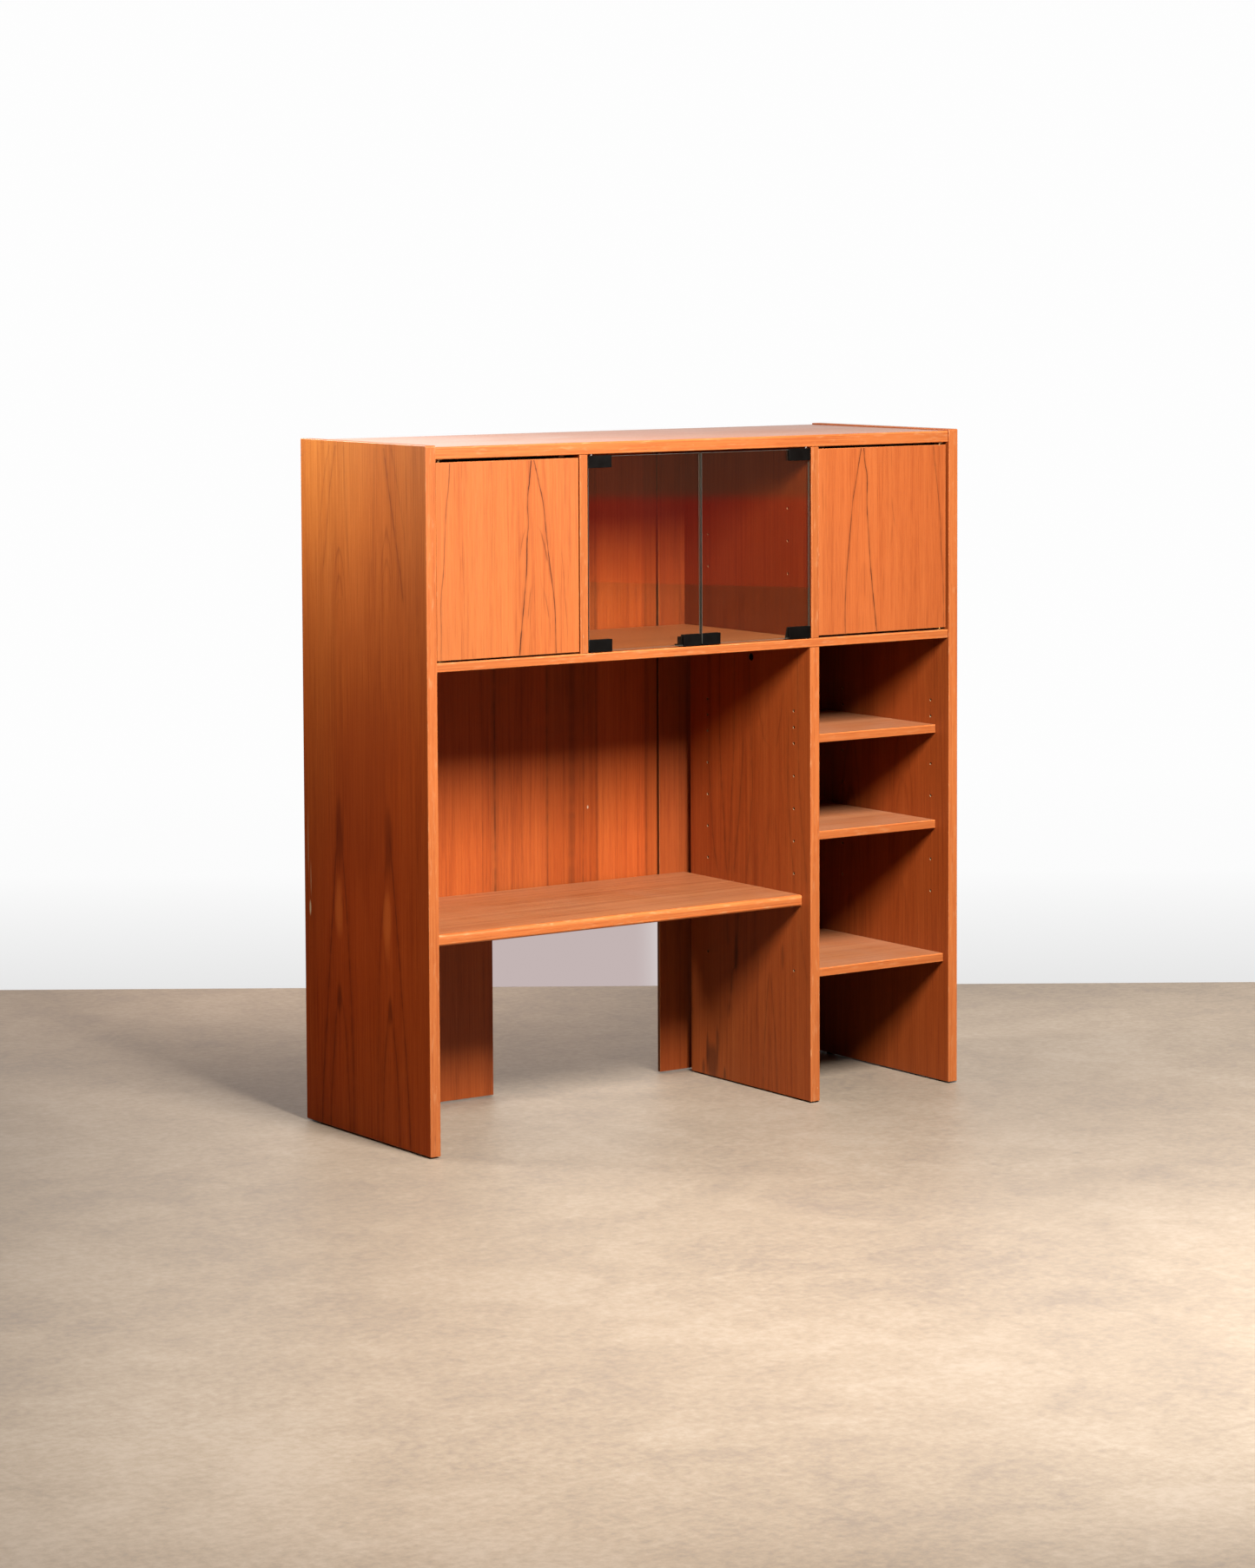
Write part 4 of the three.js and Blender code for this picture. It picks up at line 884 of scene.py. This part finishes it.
def piece(name, bm, mats, body, replaces=(), bevel=0.0, seg=3, angle=40.0, sm=35.0):
    bmesh.ops.recalc_face_normals(bm, faces=bm.faces)
    me = bpy.data.meshes.new(name)
    bm.to_mesh(me)
    bm.free()
    for m in mats:
        me.materials.append(m)
    ob = link(bpy.data.objects.new(name, me))
    if bevel:
        b = ob.modifiers.new("ease", "BEVEL")
        b.width = bevel
        b.segments = seg
        b.limit_method = "ANGLE"
        b.angle_limit = math.radians(angle)
        finish_mesh(ob)
    smooth(ob, sm)
    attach(ob, body)
    if replaces:
        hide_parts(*replaces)
    return ob


def union(a, b):
    """adds the closed solid b to a and removes b"""
    m = a.modifiers.new("join", "BOOLEAN")
    m.operation = "UNION"
    m.solver = "EXACT"
    m.object = b
    finish_mesh(a)
    me = b.data
    bpy.data.objects.remove(b, do_unlink=True)
    bpy.data.meshes.remove(me)


def pane(side):
    lo, hi = lohi(side + "_glass")
    bm = bmesh.new()
    bmesh.ops.create_cube(bm, size=1.0)
    c, d = (lo + hi) / 2, hi - lo
    for v in bm.verts:
        v.co = Vector([c[i] + v.co[i] * d[i] for i in range(3)])
    # the four corners are dubbed off, then every arris gets a narrow polished flat
    up = [e for e in bm.edges if abs((e.verts[0].co - e.verts[1].co).normalized().y) > 0.9]
    bmesh.ops.bevel(bm, geom=up, offset=0.0015, segments=4, profile=0.5, affect="EDGES")
    rim = [e for e in bm.edges if abs((e.verts[0].co - e.verts[1].co).normalized().y) < 0.1]
    bmesh.ops.bevel(bm, geom=rim, offset=0.0004, segments=2, profile=0.5, affect="EDGES")
    bm.normal_update()
    for f in bm.faces:
        a = abs(f.normal.y)
        f.material_index = 0 if a > 0.98 else (2 if a > 0.25 else 1)
    return piece("pane_" + side, bm, [GLASS, GLASS_EDGE, GLASS_RIM], side + "_glass_leaf", (side + "_glass",), sm=30)


def clip(name, node, side, up, xo, width, height, pin=None, flare=0.0):
    """a channel clipped over the corner of the pane: front plate, bridge round the glass edge, rear plate with two grub
    screws, and the pivot pin. xo is the outer end in millimetres, width signed towards the inner end."""
    gz = 1280.0 if up > 0 else 915.0
    zo = gz + up * 1.6
    zi = zo - up * height
    xi = xo + width
    # the section in y and z, from the bridge round the front plate, the slot and the rear plate
    prof = [(2.0, zo), (12.0, zo), (12.0, zi), (9.8, zi), (9.8, gz + up * 0.3), (4.2, gz + up * 0.3), (4.2, zi), (2.0, zi)]
    bm = bmesh.new()
    ends = []
    for x in (xo, xi):
        ring = []
        for y, z in prof:
            fx = x
            if flare and x == xi and y > 9.0:
                share = abs(z - zi) / height if up < 0 else 0.0
                fx = x + math.copysign(flare * share, width)
            ring.append(bm.verts.new(MM(fx, y, z)))
        ends.append(ring)
    n = len(prof)
    for i in range(n):
        j = (i + 1) % n
        bm.faces.new([ends[0][i], ends[0][j], ends[1][j], ends[1][i]])
    # the two end faces are split into three rectangles so that they stay flat
    for r in ends:
        bm.faces.new([r[0], r[5], r[6], r[7]])
        bm.faces.new([r[0], r[1], r[4], r[5]])
        bm.faces.new([r[1], r[2], r[3], r[4]])
    ob = piece(name, bm, [BLACK, STEEL], side + "_glass_leaf", (node,), bevel=0.0010, seg=3)
    ob.modifiers.clear()
    if pin:
        pb = bmesh.new()
        z0 = gz + up * 0.8
        end = 1291.0 if up > 0 else 905.0
        cylinder(pb, "z", MM(pin[0], pin[1], z0), (end - z0) / 1000.0, 0.0025, sides=24)
        bmesh.ops.recalc_face_normals(pb, faces=pb.faces)
        pm = bpy.data.meshes.new(name + "_pin")
        pb.to_mesh(pm)
        pb.free()
        for m in (BLACK, STEEL):
            pm.materials.append(m)
        for q in pm.polygons:
            q.material_index = 1
        po = link(bpy.data.objects.new(name + "_pin", pm))
        union(ob, po)
    # grub screws in the rear plate, with a hexagonal socket
    for k in (0.28, 0.72):
        sb = bmesh.new()
        cx, cz = xo + width * k, (zo + zi) / 2 - up * 1.5
        cylinder(sb, "y", MM(cx, 11.0, cz), 0.0016, 0.0028, 0.0026, sides=24)
        bmesh.ops.recalc_face_normals(sb, faces=sb.faces)
        hexa = bmesh.new()
        cylinder(hexa, "y", MM(cx, 11.7, cz), 0.0016, 0.0013, sides=6)
        bmesh.ops.recalc_face_normals(hexa, faces=hexa.faces)
        hm = bpy.data.meshes.new("hex")
        hexa.to_mesh(hm)
        hexa.free()
        ho = link(bpy.data.objects.new("hex", hm))
        so = piece("%s_screw_%d" % (name, 1 if k < 0.5 else 2), sb, [STEEL], side + "_glass_leaf")
        so.modifiers.clear()
        bo = so.modifiers.new("socket", "BOOLEAN")
        bo.operation, bo.solver, bo.object = "DIFFERENCE", "EXACT", ho
        finish_mesh(so)
        bpy.data.objects.remove(ho, do_unlink=True)
        smooth(so, 35)
    smooth(ob, 35)
    return ob


for side, s in (("left", 1), ("right", -1)):
    pane(side)
    xo = 359.5 if side == "left" else 877.6
    xi = 617.3 - 0.4 if side == "left" else 619.8 + 0.4
    px = 367.5 if side == "left" else 869.6
    clip("clip_%s_upper" % side, side + "_glass_hinge_upper", side, 1, xo, s * 51.6, 23.2, (px, 7.0))
    clip("clip_%s_lower" % side, side + "_glass_hinge_lower", side, -1, xo, s * 51.6, 23.2, (px, 7.0), flare=5.0)
    clip("strike_%s" % side, side + "_glass_strike", side, -1, xi, -s * 41.5, 22.0, flare=3.0)

# double magnetic catch: a base, two rounded blocks with steel pole plates, two fixing screws
def catch():
    lo, hi = lohi("glass_door_catch")
    c = (lo.x + hi.x) / 2
    y0, z0 = lo.y, lo.z
    bm = bmesh.new()
    box_mesh(bm, (c - 0.043, y0 + 0.003, z0), (c + 0.043, y0 + 0.020, z0 + 0.004))
    base = piece("catch_base", bm, [BLACK], "root", ("glass_door_catch",), bevel=0.0008)
    for k, (a, b) in enumerate(((c - 0.043, c - 0.005), (c + 0.005, c + 0.043))):
        bm = bmesh.new()
        box_mesh(bm, (a + 0.0002, y0 + 0.0006, z0 + 0.0015), (b - 0.0002, y0 + 0.012, z0 + 0.0185))
        piece("catch_block_%d" % (k + 1), bm, [BLACK], "root", ("glass_door_catch",), bevel=0.0014, seg=4)
        for q, zz in enumerate((z0 + 0.0060, z0 + 0.0115)):
            bm = bmesh.new()
            box_mesh(bm, (a + 0.004, y0 + 0.0001, zz), (b - 0.004, y0 + 0.010, zz + 0.0016))
            piece("catch_pole_%d_%d" % (k + 1, q + 1), bm, [STEEL], "root", ("glass_door_catch",), bevel=0.0002, seg=2)
        bm = bmesh.new()
        cylinder(bm, "z", Vector(((a + b) / 2, y0 + 0.0160, z0 + 0.0035)), 0.0014, 0.0032, 0.0026, sides=24)
        piece("catch_screw_%d" % (k + 1), bm, [STEEL], "root", bevel=0.0003, seg=2)
    return base


catch()

# ------------------------------------------------------------------------------------------------ studio
def studio():
    """a plain pale floor that gives way to white behind the desk, a soft key light and a soft side light"""
    n2 = Vector((0.561, 0.828, 0.0))                 # towards the backdrop
    edge = 1.318

    def sheet(name, mat, pts):
        me = bpy.data.meshes.new(name)
        me.from_pydata([Vector((x, y, z)) for x, y, z in pts], [], [tuple(range(len(pts)))])
        me.materials.append(mat)
        ob = link(bpy.data.objects.new(name, me))
        return ob

    side = Vector((0.828, -0.561, 0.0))
    t = Tree("studio_floor")
    P = t.xyz()
    n = t.noise(P["P"], 1.4, 5.0, 0.62, 0.4)
    f = t.noise(P["P"], 60.0, 4.0, 0.70)
    m = t.noise(P["P"], 9.0, 3.0, 0.6, 0.6)
    v = t.m("ADD", t.m("MULTIPLY", n, 0.34), t.m("ADD", t.m("MULTIPLY", f, 0.42), t.m("MULTIPLY", m, 0.24)))
    col = t.ramp(v, [(0.39, (0.115, 0.091, 0.071)), (0.50, (0.144, 0.113, 0.083)), (0.61, (0.167, 0.135, 0.104))])
    lp = t.nt.nodes.new("ShaderNodeLightPath")
    # painted light: for the camera the floor's colour is multiplied by ramps by place, brighter towards its near and
    # outer parts and darker at the far left, evening out the lamps' pool of light; bounce light uses a fixed multiple
    # of the colour and reflections a darker one
    along = t.m("ADD", t.m("MULTIPLY", P["X"], 0.5707), t.m("MULTIPLY", P["Y"], 0.8212))
    across = t.m("ADD", t.m("MULTIPLY", P["X"], 0.8212), t.m("MULTIPLY", P["Y"], -0.5707))
    gu = t.ramp(t.remap(along, -3.2, 1.0), [(x, v / 4.0) for x, v in ((0.0, 3.00), (0.071, 2.08), (0.143, 1.50), (0.214, 1.17), (0.286, 0.99), (0.381, 0.85),
                                            (0.476, 0.79), (0.571, 0.78), (0.690, 0.79), (0.833, 0.88), (1.0, 1.14))])
    gw = t.ramp(t.remap(across, -1.4, 1.5), [(x, v / 2.0) for x, v in ((0.0, 1.04), (0.138, 1.30), (0.241, 1.37), (0.345, 1.36), (0.448, 1.29), (0.552, 1.21),
                                             (0.655, 1.13), (0.759, 1.19), (0.862, 1.44), (1.0, 1.80))])
    painted_floor_light = t.m("MULTIPLY", t.m("MULTIPLY", gu, gw), 12.8)
    col = t.mix(lp.outputs["Is Diffuse Ray"], t.mix(1.0, col, painted_floor_light, "MULTIPLY"), t.mix(1.0, col, (1.40, 1.32, 1.25), "MULTIPLY"))
    col = t.mix(lp.outputs["Is Glossy Ray"], col, t.mix(1.0, col, (0.45, 0.35, 0.30), "MULTIPLY"))
    t.surface(col, 0.5, t.bump(f, 0.04, 0.001), spec=0.3)
    far = [n2 * edge + side * k for k in (-13, 13)]
    near = [n2 * -13.6 + side * k for k in (13, -13)]
    sheet("studio_floor", t.mat, [(*p.xy, 0.0) for p in far + near])
    t = Tree("studio_backdrop")
    P = t.xyz()
    # the backdrop is a glowing sheet, painted light: dimmer at its edge with the floor, whiter further back
    dist = t.m("ADD", t.m("MULTIPLY", P["X"], n2.x), t.m("MULTIPLY", P["Y"], n2.y))
    g = t.ramp(t.remap(dist, edge, edge + 4.0), [(0.0, 0.80), (0.10, 0.84), (0.45, 0.97), (1.0, 0.985)])
    # painted shadow: the backdrop's glow behind the open kneehole is dimmed to the desk's own shade, by direction from
    # the camera's place
    ox, oy = t.m("ADD", P["X"], 4.62), t.m("ADD", P["Y"], 6.64)
    ahead = t.m("ADD", t.m("MULTIPLY", ox, n2.x), t.m("MULTIPLY", oy, n2.y))
    aside = t.m("ADD", t.m("MULTIPLY", ox, side.x), t.m("MULTIPLY", oy, side.y))
    painted_shading = t.remap(t.m("ABSOLUTE", t.m("ADD", t.m("DIVIDE", aside, ahead), 0.013)), 0.024, 0.040, 1.0, 0.0, smooth=True)
    painted_shading = t.m("MULTIPLY", painted_shading, t.remap(ahead, 10.8, 12.5, 1.0, 0.0, smooth=True))
    g = t.mix(painted_shading, g, (0.545, 0.455, 0.450))
    em = t.nt.nodes.new("ShaderNodeEmission")
    t.put(em.inputs["Color"], g)
    t.nt.links.new(em.outputs[0], t.out.inputs[0])
    far = [n2 * 40 + side * k for k in (-40, 40)]
    near = [n2 * edge + side * k for k in (40, -40)]
    bd = sheet("studio_backdrop", t.mat, [(*p.xy, 0.0) for p in far + near])
    bd.visible_diffuse = False
    bd.visible_glossy = False

    def area(name, loc, target, size, power, color=(1, 1, 1), size_y=None, spread=180, glossy=True):
        li = bpy.data.lights.new(name, "AREA")
        li.shape = "RECTANGLE"
        li.size = size
        li.size_y = size_y or size
        li.energy = power
        li.color = color
        li.spread = math.radians(spread)
        ob = link(bpy.data.objects.new(name, li))
        ob.location = loc
        ob.rotation_euler = (Vector(target) - Vector(loc)).to_track_quat("-Z", "Y").to_euler()
        ob.visible_camera = False
        ob.visible_glossy = glossy
        return ob

    area("key", (-0.52, -2.39, 2.42), (0.10, 0.0, -0.50), 0.85, 154.0, (1.0, 0.98, 0.955), spread=122)
    area("side", (-1.30, 0.80, 1.85), (-0.62, 0.10, 1.40), 0.5, 15.0, (1.0, 0.97, 0.92), spread=80)
    area("back", (0.20, 1.95, 1.60), (0.10, 1.30, 0.0), 1.8, 21.5, (1.0, 0.90, 0.83), size_y=0.5, spread=125, glossy=False)
    world = bpy.data.worlds.new("world")
    bpy.context.scene.world = world
    world.use_nodes = True
    nt = world.node_tree
    nt.nodes.clear()
    out = nt.nodes.new("ShaderNodeOutputWorld")

    def bg(strength, color=(1, 1, 1)):
        b = nt.nodes.new("ShaderNodeBackground")
        b.inputs[0].default_value = (*color, 1)
        b.inputs[1].default_value = strength
        return b

    tc = nt.nodes.new("ShaderNodeTexCoord")
    dot = nt.nodes.new("ShaderNodeVectorMath")
    dot.operation = "DOT_PRODUCT"
    dot.inputs[1].default_value = n2
    nt.links.new(tc.outputs["Generated"], dot.inputs[0])
    back = nt.nodes.new("ShaderNodeMapRange")
    back.interpolation_type = "SMOOTHSTEP"
    for k, v in (("From Min", 0.55), ("From Max", 0.95), ("To Min", 0.0), ("To Max", 1.0)):
        back.inputs[k].default_value = v
    nt.links.new(dot.outputs["Value"], back.inputs["Value"])
    # what lies in front of the desk is dim and warm: brown above, red in a band below it, dark at the bottom
    sep = nt.nodes.new("ShaderNodeSeparateXYZ")
    nt.links.new(tc.outputs["Generated"], sep.inputs[0])
    pos = nt.nodes.new("ShaderNodeMapRange")
    for k, v in (("From Min", -0.100), ("From Max", 0.0), ("To Min", 0.0), ("To Max", 1.0)):
        pos.inputs[k].default_value = v
    nt.links.new(sep.outputs[2], pos.inputs["Value"])
    warm = nt.nodes.new("ShaderNodeValToRGB")
    e = warm.color_ramp.elements
    stops = [(0.182, (0.10, 0.025, 0.012)), (0.200, (0.60, 0.038, 0.020)), (0.450, (0.84, 0.050, 0.026)), (0.474, (0.38, 0.11, 0.052)),
             (0.80, (0.27, 0.08, 0.042)), (1.0, (0.13, 0.08, 0.06))]
    e[0].position, e[1].position = stops[0][0], stops[-1][0]
    e[0].color, e[1].color = (*stops[0][1], 1), (*stops[-1][1], 1)
    for k, c in stops[1:-1]:
        e.new(k).color = (*c, 1)
    nt.links.new(pos.outputs[0], warm.inputs[0])
    front = bg(1.0)
    nt.links.new(warm.outputs[0], front.inputs[0])
    gloss = nt.nodes.new("ShaderNodeMixShader")
    nt.links.new(back.outputs[0], gloss.inputs[0])
    nt.links.new(front.outputs[0], gloss.inputs[1])
    nt.links.new(bg(1.0).outputs[0], gloss.inputs[2])
    lp = nt.nodes.new("ShaderNodeLightPath")
    m1 = nt.nodes.new("ShaderNodeMixShader")
    nt.links.new(lp.outputs["Is Diffuse Ray"], m1.inputs[0])
    nt.links.new(gloss.outputs[0], m1.inputs[1])
    nt.links.new(bg(0.024, (1.0, 0.92, 0.85)).outputs[0], m1.inputs[2])
    m2 = nt.nodes.new("ShaderNodeMixShader")
    nt.links.new(lp.outputs["Is Camera Ray"], m2.inputs[0])
    nt.links.new(m1.outputs[0], m2.inputs[1])
    nt.links.new(bg(0.985).outputs[0], m2.inputs[2])
    nt.links.new(m2.outputs[0], out.inputs[0])


studio()
bpy.context.scene.view_settings.view_transform = "Standard"
